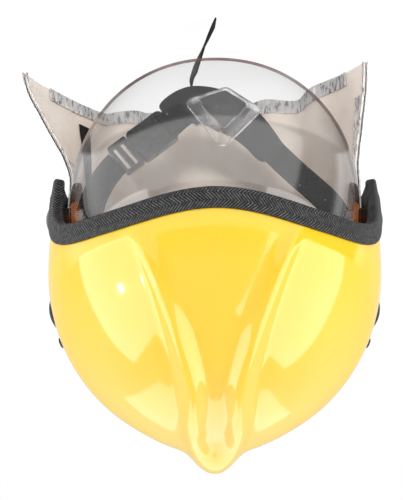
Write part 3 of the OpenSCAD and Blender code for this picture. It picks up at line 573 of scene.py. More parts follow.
def hook_tape():
    look = Look("hook_tape")
    hooks = look.voronoi(look.coord(), 800)
    look.set(
        Base_Color=look.blend(hooks, grey(36), grey(14)), Roughness=0.8,
        Normal=look.bump(hooks, 0.8, 0.0008))
    return look.mat


def steel():
    look = Look("steel")
    brushed = look.noise(look.scale(look.coord(), (60, 1400, 1400)), 1.0, 3)
    look.set(
        Base_Color=look.ramp(brushed, (0.3, grey(150)), (0.7, grey(196))), Metallic=1.0,
        Roughness=look.span(brushed, 0.3, 0.7, 0.22, 0.38), Normal=look.bump(brushed, 0.08, 0.0002))
    return look.mat


PAINT = shell_paint()
INSIDE = shell_inside()
RUBBER = trim_rubber()
VISOR = visor_clear()
VISOR_EDGE = visor_edge()
CUP = cup_clear()
GLOSS = plastic("black_gloss", grey(14), grey(26), 0.28, coat=0.6)
SOFT = plastic("black_soft", grey(12), grey(24), 0.42, shine=0.2)
MATT = plastic("black_matt", grey(24), grey(40), 0.6, grain=900, depth=0.0004)
WHITE = plastic("white_plastic", grey(205), grey(222), 0.45)
FOAM = foam()
LEATHER = leather()
STEEL = steel()
WEB = webbing()
PAD = pad_cloth()
# Both foils are painted darker in their dents and brighter on their crests, the hem much more so (painted
# shade and glints).
SILVER = foil("cape_silver", 216, 240, drawn=0.8, depth=0.25)
HEM = foil("hem_silver", 118, 255, drawn=0.4, depth=0.8)
BEIGE = lining()
HOOK = hook_tape()

# Finish of the CAD nodes that keep their shape

FINISH = (
    (STEEL, "pivot_bolts pivot_washers pivot_nuts cape_snaps strap_pins"),
    (GLOSS, "pivot_cover_left pivot_cover_right buckle_body buckle_insert prong_upper prong_lower"),
    (SOFT, "side_fitting_left side_fitting_right side_fixings"),
    (MATT, "pivot_spacers headband band_hangers cape_strip"),
    (MATT, "rack_left rack_right ratchet_housing ratchet_knob"),
    (WHITE, "ratchet_pinion"),
    (FOAM, "impact_liner"),
    (CUP, "chin_cup"),
)
for mat, names in FINISH:
    for name in names.split():
        mesh = nodes[name].data
        mesh.materials.clear()
        mesh.materials.append(mat)


def ease(name, width, segments=3, angle=35):
    """Moulded edges on a CAD node, by modifiers."""
    weld(nodes[name])
    bevel = nodes[name].modifiers.new("edges", "BEVEL")
    bevel.width = width
    bevel.segments = segments
    bevel.limit_method = "ANGLE"
    bevel.angle_limit = math.radians(angle)


for name in ("buckle_body", "buckle_insert", "prong_upper", "prong_lower"):
    ease(name, 0.0007)
ease("chin_cup", 0.0011, angle=25)
for name in ("ratchet_knob", "ratchet_housing", "headband", "band_hangers"):
    ease(name, 0.0005, segments=2)

# Shell: the CAD shell's own surface, on a finer grid

HALF_WIDTH = 120.0
HALF_LENGTH = 150.0
DOME_HEIGHT = 125.0
SKIRT_HEIGHT = 260.0
WALL = 3.2
TEMPLE_SWELL = 0.028
CREST_HEIGHT = 17.0
CREST_HALF = 24.0
CROWN_SWELL = 0.18
RIB_HALF = 8.5
RIB_AZIMUTH = 28.4
RIB_GAP = 15.0
RIB_KNEE = 56.0
RIB_CURVE = 1.42
RIB_COLUMNS = 18
ARCH_FOOT = 74.0
ARCH_TOP = 82.0
RIM_DROP = 10.9
BROW_RISE = 7.5
FLAP_DROP = 65.5
FLAP_FRONT = 60.0
FLAP_LEAN = 9.0
FLAP_ROUND = 11.0
FLAP_SLANT = 16.0
CORNER_LENGTH = 54.0
CORNER_HEIGHT = 32.0
LEVEL_Y = 10.0


def oval_share(z):
    """Share of the widest oval that is left at height z."""
    z = np.asarray(z, float)
    return np.sqrt(np.maximum(0, 1 - (z / np.where(z >= 0, DOME_HEIGHT, SKIRT_HEIGHT)) ** 2))


def swollen(p):
    """Temples fuller than the oval, ahead of the ears and below the brow."""
    x, y, z = p[..., 0], p[..., 1], p[..., 2]
    swell = 1 + TEMPLE_SWELL * smooth(-25, -85, y) * smooth(-150, -95, y) * smooth(70, 10, z)
    return np.stack([x * swell, y, z], -1)


def wall_point(az, z):
    share = oval_share(z)
    return swollen(np.stack([HALF_WIDTH * share * sind(az), -HALF_LENGTH * share * cosd(az), z + 0 * az], -1))


def outward(p):
    height = np.where(p[..., 2] >= 0, DOME_HEIGHT, SKIRT_HEIGHT)
    halves = np.stack(np.broadcast_arrays(HALF_WIDTH, HALF_LENGTH, height), -1)
    return unit(p / halves ** 2)


def azimuth_at(y, z):
    return np.degrees(np.arccos(np.clip(-y / (HALF_LENGTH * oval_share(z)), -1, 1)))


# A climb angle goes over the dome from 0 at the front rim, past 90 on the crown, to 180 at the back.


def rib_line(climb):
    """Distance of a rib's middle line from the middle plane."""
    closing = np.maximum(0, 1 - climb / RIB_KNEE) ** RIB_CURVE
    apart = HALF_WIDTH * sind(RIB_AZIMUTH) - RIB_GAP
    return RIB_GAP + apart * np.maximum(closing, smooth(120, 180, climb))


def rib_foot(climb):
    return RIB_HALF * mix(0.6, 1, smooth(0, 40, climb))


def rib_top(climb):
    share = 0.28 + 0.2 * smooth(10, 60, climb) + 0.52 * smooth(72, 104, climb)
    return CREST_HEIGHT * smooth(1, 14, climb) * share * smooth(178, 128, climb)


def rise(p):
    """Height of the ribs and the crest above the dome's oval."""
    x, y, z = np.abs(p[..., 0]), p[..., 1], p[..., 2]
    climb = np.where(z <= 1e-9, np.where(y < 0, 0.0, 180.0),
                     np.degrees(np.arctan2(z / DOME_HEIGHT, -y / HALF_LENGTH)))
    line, foot_half = rib_line(np.minimum(climb, 90)), rib_foot(climb)
    crown = smooth(72, 100, climb)
    foot = mix(line + foot_half, CREST_HALF, crown)
    brink = mix(line + 0.3 * foot_half, 0.05 * CREST_HALF, crown)
    flank = smooth(0, 1, (x - foot) / (brink - foot))
    # The valley between the ribs ends above in a round arch.
    half = RIB_GAP - RIB_HALF
    across = np.maximum(0, half + (x - (line - foot_half)) * RIB_HALF / foot_half) / half
    above = np.maximum(0, climb - ARCH_FOOT) / (ARCH_TOP - ARCH_FOOT)
    away = np.maximum(0.01, np.hypot(across, above))
    side = smooth(0, 1, (away - 1) / (0.8 + 0.95 * above / away))
    swell = CROWN_SWELL * crown * smooth(62, 10, x)
    return rib_top(climb) * (mix(1, 1 - CROWN_SWELL, crown) * flank * side + swell)


def soft_rise(p):
    """The same height, with the ribs' edges rounded over a few millimetres."""
    step = 2.25
    weights = {-2: 1, -1: 2, 0: 3, 1: 2, 2: 1}
    total = sum(weight * rise(p + np.array([k * step, 0.0, 0.0])) for k, weight in weights.items())
    return total / sum(weights.values())


def brow(az):
    return -RIM_DROP + BROW_RISE * smooth(0, 36, az)


def front_half():
    """Rim stations, azimuth and height, from the front middle by brow, corner and flap to the ear."""
    temple = float(brow(90.0))
    lean = math.tan(math.radians(FLAP_LEAN))
    slant = math.tan(math.radians(FLAP_SLANT))
    turn = math.degrees(math.atan(CORNER_LENGTH / (CORNER_HEIGHT * lean)))
    start = -FLAP_FRONT - CORNER_LENGTH
    bend = [(start + CORNER_LENGTH * sind(t), temple - CORNER_HEIGHT * (1 - cosd(t)))
            for t in np.linspace(0, turn, 25)]
    top_y, top_z = bend[-1]
    # The lower corner is a round between the flap's leaning front and its slanting lower edge.
    a = top_y + top_z * lean + FLAP_ROUND / float(cosd(FLAP_LEAN))
    b = -FLAP_DROP - LEVEL_Y * slant + FLAP_ROUND / float(cosd(FLAP_SLANT))
    round_y = (a - b * lean) / (1 - slant * lean)
    round_z = b - round_y * slant
    corner = [(round_y - FLAP_ROUND * cosd(t), round_z - FLAP_ROUND * sind(t))
              for t in np.linspace(FLAP_LEAN, 90 - FLAP_SLANT, 9)]
    straight = [(mix(top_y, corner[0][0], t), mix(top_z, corner[0][1], t)) for t in (0.25, 0.5, 0.75)]
    places = bend[1:] + straight + corner
    for y in np.linspace(corner[-1][0], -2 * LEVEL_Y, 6)[1:]:
        places.append((y, -FLAP_DROP + slant * (-y - LEVEL_Y)))
    for y in np.linspace(-2 * LEVEL_Y, 0, 8)[1:-1]:
        places.append((y, -FLAP_DROP + slant * y * y / (4 * LEVEL_Y)))
    between_ribs = RIB_AZIMUTH * np.arange(RIB_COLUMNS + 1) / RIB_COLUMNS
    beside_ribs = np.linspace(RIB_AZIMUTH, float(azimuth_at(start, temple)), 9)[1:]
    stations = [(az, float(brow(az))) for az in (*between_ribs, *beside_ribs)]
    stations += [(float(azimuth_at(y, z)), float(z)) for y, z in places]
    return np.array(stations + [(90.0, -FLAP_DROP)])


FRONT = front_half()
COLUMNS = len(FRONT) - 1
SPREAD = np.arange(1 - COLUMNS, COLUMNS)


def lateral(climb):
    """Angle of each column from the middle plane."""
    j = np.abs(SPREAD)
    guide = np.degrees(np.arcsin(rib_line(climb) / HALF_WIDTH))
    t = (FRONT[j, 0] - RIB_AZIMUTH) / (90 - RIB_AZIMUTH)
    far = guide + (90 - guide) * (t - 0.65 * sind(climb) * sind(360 * t) / (2 * np.pi))
    return np.sign(SPREAD) * np.where(j <= RIB_COLUMNS, guide * j / RIB_COLUMNS, far)


def dome(rows, depth):
    points = []
    for climb in rows:
        side = lateral(climb)
        level = cosd(side)
        points.append(np.stack([HALF_WIDTH * sind(side), -HALF_LENGTH * level * cosd(climb),
                                DOME_HEIGHT * level * sind(climb)], -1))
    points = np.array(points)
    return swollen(points) + outward(points) * (soft_rise(points) - depth)[..., None]


front_azimuth = np.sign(SPREAD) * FRONT[np.abs(SPREAD), 0]
rim_azimuth = np.concatenate([front_azimuth, [90], 180 - front_azimuth[::-1], [-90]])
rim_z = np.concatenate([FRONT[np.abs(SPREAD), 1], np.full(len(SPREAD) + 2, -FLAP_DROP)])


def shell_skin(row_step, depth, skirt_rows):
    """Verts, faces and rim ring of the dome, its two ear poles and the skirt down to the rim."""
    points = dome(np.arange(0, 180.1, row_step), depth)
    n, m = points.shape[:2]
    _, faces, _ = grid(points)
    poles = [(HALF_WIDTH - depth, 0, 0), (depth - HALF_WIDTH, 0, 0)]
    verts = [tuple(v) for v in points.reshape(-1, 3)] + poles
    left, right = n * m, n * m + 1
    faces += [[i * m + m - 1, (i + 1) * m + m - 1, left] for i in range(n - 1)]
    faces += [[right, (i + 1) * m, i * m] for i in range(n - 1)]
    ring = list(range(m)) + [left] + list(range((n - 1) * m, n * m))[::-1] + [right]
    for row in range(1, skirt_rows + 1):
        p = wall_point(rim_azimuth, rim_z * row / skirt_rows)
        below = list(range(len(verts), len(verts) + len(ring)))
        verts += [tuple(v) for v in p - outward(p) * depth]
        faces += bridge(ring, below)
        ring = below
    return verts, faces, ring


outer_verts, outer_faces, outer_ring = shell_skin(2.0, 0.0, 8)
inner_verts, inner_faces, inner_ring = shell_skin(6.0, WALL, 6)
base = len(outer_verts)
inner_faces = [[base + c for c in f[::-1]] for f in inner_faces]
lip = bridge(outer_ring, [base + c for c in inner_ring])
shell = make("shell_skin", outer_verts + inner_verts, outer_faces + inner_faces + lip, mats=(PAINT, INSIDE),
             index=[0] * len(outer_faces) + [1] * len(inner_faces) + [0] * len(lip))
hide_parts("outer_shell")

# Edge trim: the CAD trim's section, rounded, swept along an even rim line

TRIM_STEP = 1.9
TRIM_REACH = WALL / 2 + 2.1
TRIM_GRIP = WALL / 2 + 0.15
TRIM_LEG = 12.2
TRIM_LIP = 2.4
LIP_ROUND = 2.0
LEG_ROUND = 1.0
FACE_STEPS = (-8, -5, -2)
TOP_STEPS = (1.5, 0, -1.5)


def even_line(p, step):
    """Closed line resampled to even steps, smoothed a little, and its true step."""
    q = np.vstack([p, p[:1]])
    run = run_along(q)
    n = int(run[-1] / step)
    s = np.linspace(0, run[-1], n, endpoint=False)
    line = np.stack([np.interp(s, run, q[:, axis]) for axis in range(3)], -1)
    for _ in range(3):
        line = (np.roll(line, 1, 0) + 2 * line + np.roll(line, -1, 0)) / 4
    return line, run[-1] / n


def arc(x, y, r, start, end):
    return [(x + r * cosd(a), y + r * sind(a)) for a in np.linspace(start, end, 5)]


rim_line, rim_step = even_line(wall_point(rim_azimuth, rim_z), TRIM_STEP)
rim_out = outward(rim_line)
rim_mid = rim_line - rim_out * WALL / 2
rim_along = unit(np.roll(rim_mid, -1, 0) - np.roll(rim_mid, 1, 0))
rim_away = unit(np.cross(rim_along, rim_out))
section = (arc(TRIM_REACH - LEG_ROUND, LEG_ROUND - TRIM_LEG, LEG_ROUND, -90, 0)
           + [(TRIM_REACH, y) for y in FACE_STEPS]
           + arc(TRIM_REACH - LIP_ROUND, TRIM_LIP - LIP_ROUND, LIP_ROUND, 0, 90)
           + [(x, TRIM_LIP) for x in TOP_STEPS]
           + arc(LIP_ROUND - TRIM_REACH, TRIM_LIP - LIP_ROUND, LIP_ROUND, 90, 180)
           + [(-TRIM_REACH, y) for y in FACE_STEPS[::-1]]
           + arc(LEG_ROUND - TRIM_REACH, LEG_ROUND - TRIM_LEG, LEG_ROUND, 180, 270)
           + [(-TRIM_GRIP, -TRIM_LEG), (-TRIM_GRIP, 0), (TRIM_GRIP, 0), (TRIM_GRIP, -TRIM_LEG)])
section_run = run_along(np.array(section + section[:1]))


def trim_uv(i, j):
    return (i * rim_step * MM, section_run[j] * MM)


trim_rows = [[mid + out * x + away * y for x, y in section]
             for mid, out, away in zip(rim_mid, rim_out, rim_away)]
trim = make("trim_band", *grid(np.array(trim_rows), wrap_i=True, wrap_j=True, flip=True, uv=trim_uv),
            mats=(RUBBER,))
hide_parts("edge_trim")

# Visor: the CAD visor's turned profile, smooth, with its cut edges

VISOR_RADIUS = 129.785
VISOR_HALF = 104.911
VISOR_FULLNESS = 2.12
VISOR_THICK = 2.2
VISOR_ANGLES = np.linspace(4, 175.96, 110)
VISOR_TURNS = np.linspace(-38.0, 27.0, 58)
PIVOT_Y = -10.0
PIVOT_Z = -40.5
EAR_RADIUS = 15.0
EAR_HOLE = 4.05
EAR_EASE = 0.6
EAR_STEP = 0.3
EAR_SIDES = 48


def visor_face(room):
    """Points of the visor's outer face, or of one that lies deeper by room."""
    c, s, power = cosd(VISOR_ANGLES), sind(VISOR_ANGLES), 2 / VISOR_FULLNESS
    r = (VISOR_RADIUS - room) * s ** power
    x = (VISOR_HALF - room) * np.sign(c) * np.abs(c) ** power
    return np.array([np.stack([x, PIVOT_Y - r * cosd(b), PIVOT_Z + r * sind(b)], -1) for b in VISOR_TURNS])


def visor_ear(side):
    """Round boss with the pivot's hole, at one side."""
    inner = VISOR_HALF - VISOR_THICK
    profile = ((inner - EAR_STEP, EAR_HOLE), (inner - EAR_STEP, EAR_RADIUS - EAR_EASE),
               (inner + EAR_STEP, EAR_RADIUS), (VISOR_HALF - EAR_EASE, EAR_RADIUS),
               (VISOR_HALF, EAR_RADIUS - EAR_EASE), (VISOR_HALF, EAR_HOLE))
    a = np.linspace(0, 360, EAR_SIDES, endpoint=False)
    rings = [np.stack([np.full(EAR_SIDES, side * x), PIVOT_Y + r * cosd(a), PIVOT_Z + r * sind(a)], -1)
             for x, r in profile]
    return grid(np.array(rings), wrap_i=True, wrap_j=True, flip=side < 0)


parts = two_faced(visor_face(0), visor_face(VISOR_THICK), edge=1)
parts += [(*visor_ear(side), 0) for side in (1, -1)]
verts, faces, _, index = joined(parts)
visor = make("visor_shield", verts, faces, mats=(VISOR, VISOR_EDGE), index=index, body="visor")
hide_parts("visor")

# Neck cape: outer cloth, lining, hem facing, bindings and hook tape hang as one crumpled stack

CAPE_TOP = TRIM_LEG + TRIM_LIP + 8 - FLAP_DROP
CAPE_INSET = 5.9
CAPE_HALF_WIDTH = HALF_WIDTH * float(oval_share(-FLAP_DROP)) - CAPE_INSET
CAPE_HALF_LENGTH = HALF_LENGTH * float(oval_share(-FLAP_DROP)) - CAPE_INSET
CAPE_AZIMUTHS = (94.0, 266.0)
HEM_FRONT = 155.0
HEM_BACK = 186.0
FOLDS = 7
FOLD_DEPTH = 5
DRAPE = 10
FLARE_LEFT = 34
FLARE_RIGHT = 6
FLARE_AHEAD = 28


def hump(s, at, width):
    return np.exp(-((s - at) / width) ** 2)


def cape_smooth(s, t):
    """Uncrumpled cape at shares s of its way round from the left, and t of its drop."""
    az = mix(*CAPE_AZIMUTHS, s)
    left = smooth(0.17, 0, s) * smooth(0.3, 1, t)
    right = smooth(0.83, 1, s) * smooth(0.3, 1, t)
    fold = smooth(0.25, 1, t) * sind(180 * s) * (FOLD_DEPTH * sind(360 * FOLDS * s) - DRAPE)
    way = unit(np.stack([sind(az) / CAPE_HALF_WIDTH, -cosd(az) / CAPE_HALF_LENGTH], -1))
    # It hangs a little askew, shorter ahead of the left shoulder and longer at the right.
    shorter = 11 * hump(s, 0.13, 0.085) + 4 * hump(s, 0.26, 0.08)
    longer = 15 * hump(s, 0.87, 0.1) + 8 * hump(s, 0.63, 0.12) + 5 * smooth(0.9, 1, s)
    hem_z = -mix(HEM_FRONT, HEM_BACK, sind(180 * s)) + shorter - longer
    x = CAPE_HALF_WIDTH * sind(az) + way[..., 0] * fold + left * FLARE_LEFT - right * FLARE_RIGHT
    y = -CAPE_HALF_LENGTH * cosd(az) + way[..., 1] * fold - (left + right) * FLARE_AHEAD
    return np.stack([x, y, mix(CAPE_TOP, hem_z, t)], -1)


def cape_normal(s, t):
    step = 0.004
    across = cape_smooth(np.clip(s + step, 0, 1), t) - cape_smooth(np.clip(s - step, 0, 1), t)
    down = cape_smooth(s, np.clip(t + step, 0, 1)) - cape_smooth(s, np.clip(t - step, 0, 1))
    return unit(np.cross(down, across))


def crumple(s, t):
    """Small dents of the cloth, the same for all its layers."""
    dents = np.zeros(s.shape)
    for i in np.ndindex(s.shape):
        x, y = s[i] * 400, t[i] * 125
        dents[i] = 1.1 * layered((x * 0.02, y * 0.02, 1.7)) + 0.45 * layered((x * 0.06, y * 0.05, 5.1))
    return dents * smooth(0, 0.2, t)


def crush(s, t):
    """Fine dents of the folded silver cloth."""
    dents = np.zeros(s.shape)
    for i in np.ndindex(s.shape):
        dents[i] = 0.35 * abs(layered((s[i] * 90, t[i] * 26, 9.3), 4))
    return dents


def cape_layer(name, mat, across, down, depths, counts, crushed=False):
    """One closed layer over shares across and down the cape, between two depths."""
    s, t = np.meshgrid(np.linspace(*across, counts[0]), np.linspace(*down, counts[1]), indexing="ij")
    p, n = cape_smooth(s, t), cape_normal(s, t)
    dents = crumple(s, t)
    if crushed:
        dents = dents - crush(s, t)
    face, back = (p + n * (dents - depth)[..., None] for depth in depths)
    obj = make(name, *closed(face, back), mats=(mat,))
    weld(obj)
    return obj


cape = cape_layer("cape_cloth", SILVER, (0, 1), (0, 1), (0.0, 0.9), (220, 56))
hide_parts("neck_cape")
lining_piece = cape_layer("cape_inner", BEIGE, (0.004, 0.996), (0, 0.995), (1.7, 2.5), (200, 50))
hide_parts("cape_lining")
hem = cape_layer("cape_facing", HEM, (0.06, 0.925), (0.915, 0.998), (3.1, 3.8), (420, 14), crushed=True)
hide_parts("cape_hem")
tab = cape_layer("cape_hook_tape", HOOK, (0.103, 0.122), (0.3, 0.84), (3.2, 4.0), (6, 40))
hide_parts("cape_tab")
BINDINGS = (((0.0, 0.055), (0.05, 0.48)), ((0.0, 0.007), (0.48, 1.0)),
            ((0.963, 1.0), (0.05, 0.8)), ((0.99, 1.0), (0.8, 1.0)))
for k, (across, down) in enumerate(BINDINGS):
    piece = cape_layer(f"cape_binding_{k}", HEM, across, down, (2.9, 3.5), (12, 60), crushed=True)

# Chin strap: webbing routes as X and Z

STRAP_Y = 12.0
STRAP_HALF = 10.0
STRAP_THIN = 0.8
PIN_X = 94.07
PIN_Z = -36
INSERT = np.array([70.0, -96.0])
BODY = np.array([34.0, -125.0])
BUCKLE = unit(BODY - INSERT)
LEFT = [[PIN_X, -39], [PIN_X + 1, -60], [84, -84], [70, -96]]
RIGHT = [[-PIN_X, -39], [-PIN_X - 1, -62], [-66, -78], [-38, -112]]
PADS = [[46, -128], [24, -148], [-14, -150], [-45, -98]]
TAIL = [[17, -158], [15, -172], [10, -186], [-1, -211]]


def lift(q, y):
    return np.stack([q[..., 0], np.broadcast_to(y, q.shape[:-1]), q[..., 1]], -1)


def flat_strip(route, t, y):
    q, w = bezier(route, t), bezier_way(route, t)
    wide = lift(np.stack([-w[..., 1], w[..., 0]], -1), 0.0)
    return solid_strip(lift(q, y), wide, np.cross(lift(w, 0.0), wide), STRAP_HALF, STRAP_THIN)


def turned_strip(line, wide, half_w, half_t):
    """Webbing along a line that keeps one width direction."""
    wide = np.tile(wide, (len(line), 1))
    return solid_strip(line, wide, np.cross(unit(np.gradient(line, axis=0)), wide), half_w, half_t)


def loop_strip(x):
    """Webbing turned over a pin along X, with its short leg sewn behind the long one."""
    r, half_w, lap = 4.1, 9.9, STRAP_Y + 2 * STRAP_THIN
    points = [(lap + 0.05, PIN_Z - 14), (lap + 0.3, PIN_Z - 10.5), (STRAP_Y + r * 0.8, PIN_Z - 5.5)]
    points += [(STRAP_Y + r * cosd(a), PIN_Z + r * sind(a)) for a in np.linspace(0, 180, 13)]
    points += [(STRAP_Y - r * 0.8, PIN_Z - 6.6), (STRAP_Y, PIN_Z - 13.6)]
    line = np.array([(x, y, z) for y, z in points])
    return turned_strip(line, [1.0, 0, 0], half_w, STRAP_THIN)


def strap_side(name, route, t, y, pin_x):
    verts, faces, uvs, _ = joined([(*flat_strip(route, t, y), 0), (*loop_strip(pin_x), 0)])
    return make(name, verts, faces, uvs, mats=(WEB,), body="chin_strap")


shares = np.linspace(0, 1, 70)
stop = float(shares[np.argmax((bezier(LEFT, shares) - INSERT) @ BUCKLE > -4.4)])
left = strap_side("strap_web_left", LEFT, np.linspace(0.1, stop, 60), STRAP_Y, PIN_X)
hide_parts("strap_left")
# This side bends back on its way down, to pass behind the chin pad.
way_down = np.linspace(0.1, 1, 60)
bent_back = STRAP_Y + 2.9 * smooth(0.32, 0.68, way_down)
right = strap_side("strap_web_right", RIGHT, way_down, bent_back, -PIN_X)
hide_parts("strap_right")
# The tail hangs almost edge on.
spots, ways = bezier(TAIL, shares), bezier_way(TAIL, shares)
turn = 4 + 14 * smooth(0, 0.2, shares) * smooth(0.95, 0.4, shares)
across = np.stack([sind(turn) * -ways[:, 1], cosd(turn), sind(turn) * ways[:, 0]], -1)
strip = solid_strip(lift(spots, STRAP_Y), across, np.cross(lift(ways, 0.0), across), 9.8, STRAP_THIN)
tail = make("strap_web_tail", *strip, mats=(WEB,), body="chin_strap")
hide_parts("strap_tail")
# Short loop of webbing round the buckle's end bar, sewn to the pad
half_loop = np.array([(16, 2.5), (9, 2.9), (3.5, 4.6), (1.2, 5.6),
                      (-2, 5.9), (-4.2, 5.4), (-4.7, 4.2), (-4.7, 0)])
way_round = np.vstack([half_loop, (half_loop * [1, -1])[-2::-1]])
spot = BODY + BUCKLE * way_round[:, :1]
line = np.stack([spot[:, 0], STRAP_Y - way_round[:, 1], spot[:, 1]], -1)
loop = make("strap_web_loop", *turned_strip(line, [-BUCKLE[1], 0.0, BUCKLE[0]], 9.4, 0.6),
            mats=(WEB,), body="chin_strap")

# Chin pad: two puffed faces along a route, which meet in a stitched edge

PAD_ROWS, PAD_COLUMNS = 56, 17
PAD_HALF = 1.8
PAD_EDGE = 0.35


def pad_face(start, side):
    t = np.linspace(start, 1, PAD_ROWS)
    q, w = bezier(PADS, t), bezier_way(PADS, t)
    across = np.stack([-w[:, 1], w[:, 0]], -1)
    half = mix(mix(14, 32, smooth(0, 0.4, t)), 24, smooth(0.65, 1, t)) / 2
    x = np.sin(np.linspace(-np.pi / 2, np.pi / 2, PAD_COLUMNS))
    past = np.clip(np.abs(np.linspace(-1, 1, PAD_ROWS)) - 0.86, 0, 1) / 0.14
    end = np.sqrt(np.clip(1 - past ** 2, 0, 1))
    puff = np.outer(np.sqrt(end), (1 - np.abs(x) ** 3.2)) ** 0.7
    dent = np.array([[0.25 * layered((a * 6, b * 1.5, 3.0 + side)) for b in x] for a in t])
    y = STRAP_Y + side * (PAD_EDGE + (PAD_HALF - PAD_EDGE) * np.clip(puff - np.abs(dent) * puff, 0, 1))
    spot = q[:, None] + across[:, None] * (half * mix(0.72, 1.0, end))[:, None, None] * x[None, :, None]
    return np.stack([spot[..., 0], y, spot[..., 1]], -1)


begin = float(shares[np.argmax((bezier(PADS, shares) - BODY) @ BUCKLE > 0.6)])
chin = make("chin_cushion", *closed(pad_face(begin, -1), pad_face(begin, 1)), mats=(PAD,), body="chin_strap")
weld(chin)
rounded(chin)
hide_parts("chin_pad")

# Soft pieces of the head harness

BAND_HALF_WIDTH = 79.0
BAND_HALF_LENGTH = 101.0
CUSHION_HALF = 2.45
BROW_IN = 4.8
NAPE_RADIUS = BAND_HALF_WIDTH ** 2 / BAND_HALF_LENGTH
NAPE_Y = BAND_HALF_LENGTH - NAPE_RADIUS
NAPE_IN = 4.4
CROWN_TOP = 77
CROWN_THIN = 0.58
CROWN_AZIMUTH = 40.0


def cushion(name, mat, base, out, node):
    """Puffed closed pad over a patch of middle points with outward directions."""
    n, m = base.shape[:2]
    a, b = np.abs(np.linspace(-1, 1, n)), np.abs(np.linspace(-1, 1, m))
    puff = np.outer(1 - a ** 8, 1 - b ** 4) ** 0.6
    height = (0.25 + 0.75 * puff)[..., None] * CUSHION_HALF
    obj = make(name, *closed(base + out * height, base - out * height), mats=(mat,))
    weld(obj)
    rounded(obj)
    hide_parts(node)


az, z = np.meshgrid(np.linspace(-77.5, 77.5, 90), np.linspace(-11.7, 3.7, 9), indexing="ij")
base = np.stack([(BAND_HALF_WIDTH - BROW_IN) * sind(az), -(BAND_HALF_LENGTH - BROW_IN) * cosd(az), z], -1)
out = unit(np.stack([sind(az) / BAND_HALF_WIDTH, -cosd(az) / BAND_HALF_LENGTH, 0 * az], -1))
cushion("brow_leather", LEATHER, base, out, "sweatband")

az, z = np.meshgrid(np.linspace(-21.8, 21.8, 26), np.linspace(-10.8, 12.8, 13), indexing="ij")
out = np.stack([-sind(az), cosd(az), 0 * az], -1)
base = out * (NAPE_RADIUS - NAPE_IN) + np.stack([0 * az, NAPE_Y + 0 * az, z], -1)
cushion("nape_cushion", PAD, base, out, "nape_pad")

crown_reach = 1 / np.hypot(sind(CROWN_AZIMUTH) / (BAND_HALF_WIDTH - 2),
                           cosd(CROWN_AZIMUTH) / (BAND_HALF_LENGTH - 2)) - 3.6


def crown_strap(name, turn, lift_by, node):
    reach, top, spring = crown_reach - 0.6, CROWN_TOP + lift_by - 0.6, 16
    points = [(reach, z) for z in np.linspace(4.2, 15, 4)]
    points += [(reach * cosd(a), spring + (top - spring) * sind(a)) for a in np.linspace(0, 180, 61)]
    points += [(-reach, z) for z in np.linspace(15, 4.2, 4)]
    c, s = cosd(turn), sind(turn)
    line = np.array([(x * c, x * s, z) for x, z in points])
    obj = make(name, *turned_strip(line, [-s, c, 0.0], STRAP_HALF, CROWN_THIN), mats=(WEB,))
    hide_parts(node)


crown_strap("crown_web_left", -50.0, 0.0, "crown_strap_left")
crown_strap("crown_web_right", 50.0, 1.5, "crown_strap_right")

# Crown pad: a quilted disc in the CAD pad's own box

low_corner, high_corner = (np.array(c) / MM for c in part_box("crown_pad"))
size = high_corner - low_corner
centre_z = (low_corner[2] + high_corner[2]) / 2
share, angle = np.meshgrid(np.linspace(0.02, 1, 14), np.linspace(0, 360, 49), indexing="ij")
radius = size[0] / 2 * share
quilt = 1 - 0.18 * np.exp(-((share - 0.62) / 0.05) ** 2)
height = size[2] / 2 * (1 - share ** 4) ** 0.5 * quilt
top = np.stack([radius * sind(angle), radius * cosd(angle), centre_z + height], -1)
bottom = np.stack([radius * sind(angle), radius * cosd(angle), centre_z - height], -1)
hub = list(range(48))
verts, faces, _, _ = joined([(*grid(top, flip=True), 0), (*grid(bottom), 0),
                             (top[0], [hub], [], 0), (bottom[0], [hub[::-1]], [], 0)])
crown = make("crown_cushion", verts, faces, mats=(PAD,))
weld(crown, 2 * WELD_REACH)
rounded(crown)
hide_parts("crown_pad")


# Camera, on the photograph's side, turned half over as the photograph is

CAMERA_AT = (0.0095, -0.95106, 0.28912)
LOOK_AHEAD, LOOK_DOWN = 0.95106, 0.30902
camera = bpy.data.cameras.new("camera")
camera.sensor_width = 36
camera.lens = 98.28
camera.clip_start = 0.05
camera.clip_end = 50
viewer = place("camera", camera)
viewer.matrix_world = Matrix(((-1, 0, 0, CAMERA_AT[0]), (0, -LOOK_DOWN, -LOOK_AHEAD, CAMERA_AT[1]),
                              (0, -LOOK_AHEAD, LOOK_DOWN, CAMERA_AT[2]), (0, 0, 0, 1)))
bpy.context.scene.camera = viewer

# Lamps, in metres and watts

MIDDLE = Vector((0, 0, 0.02))


def lamp(light, at, toward):
    obj = place(light.name, light)
    obj.location = at
    obj.rotation_mode = "QUATERNION"
    obj.rotation_quaternion = (Vector(toward) - Vector(at)).to_track_quat("-Z", "Y")
    return obj


def panel(name, at, toward, size, power):
    light = bpy.data.lights.new(name, "AREA")
    light.shape = "RECTANGLE"
    light.size, light.size_y = size
    light.energy = power
    return lamp(light, at, toward)


def facing(azimuth, elevation, distance):
    """Place at a bearing from the helmet, 0 in front and 90 at its left."""
    c = cosd(elevation)
    return Vector((distance * c * sind(azimuth), -distance * c * cosd(azimuth), distance * sind(elevation)))


panel("window_left", facing(-67, 28, 1.5), MIDDLE, (1.85, 1.9), 20.5)
panel("window_right", facing(78, 22, 1.5), MIDDLE, (1.5, 1.6), 14.5)
panel("lamp_right", facing(75, 20, 1.2), MIDDLE, (0.03, 0.08), 0.6)
panel("overhead", facing(176, 50, 1.5), MIDDLE, (1.6, 1.0), 5.0)
panel("front_fill", facing(4, 2, 1.9), (0, 0, -0.1), (0.25, 0.25), 0.6).visible_glossy = False
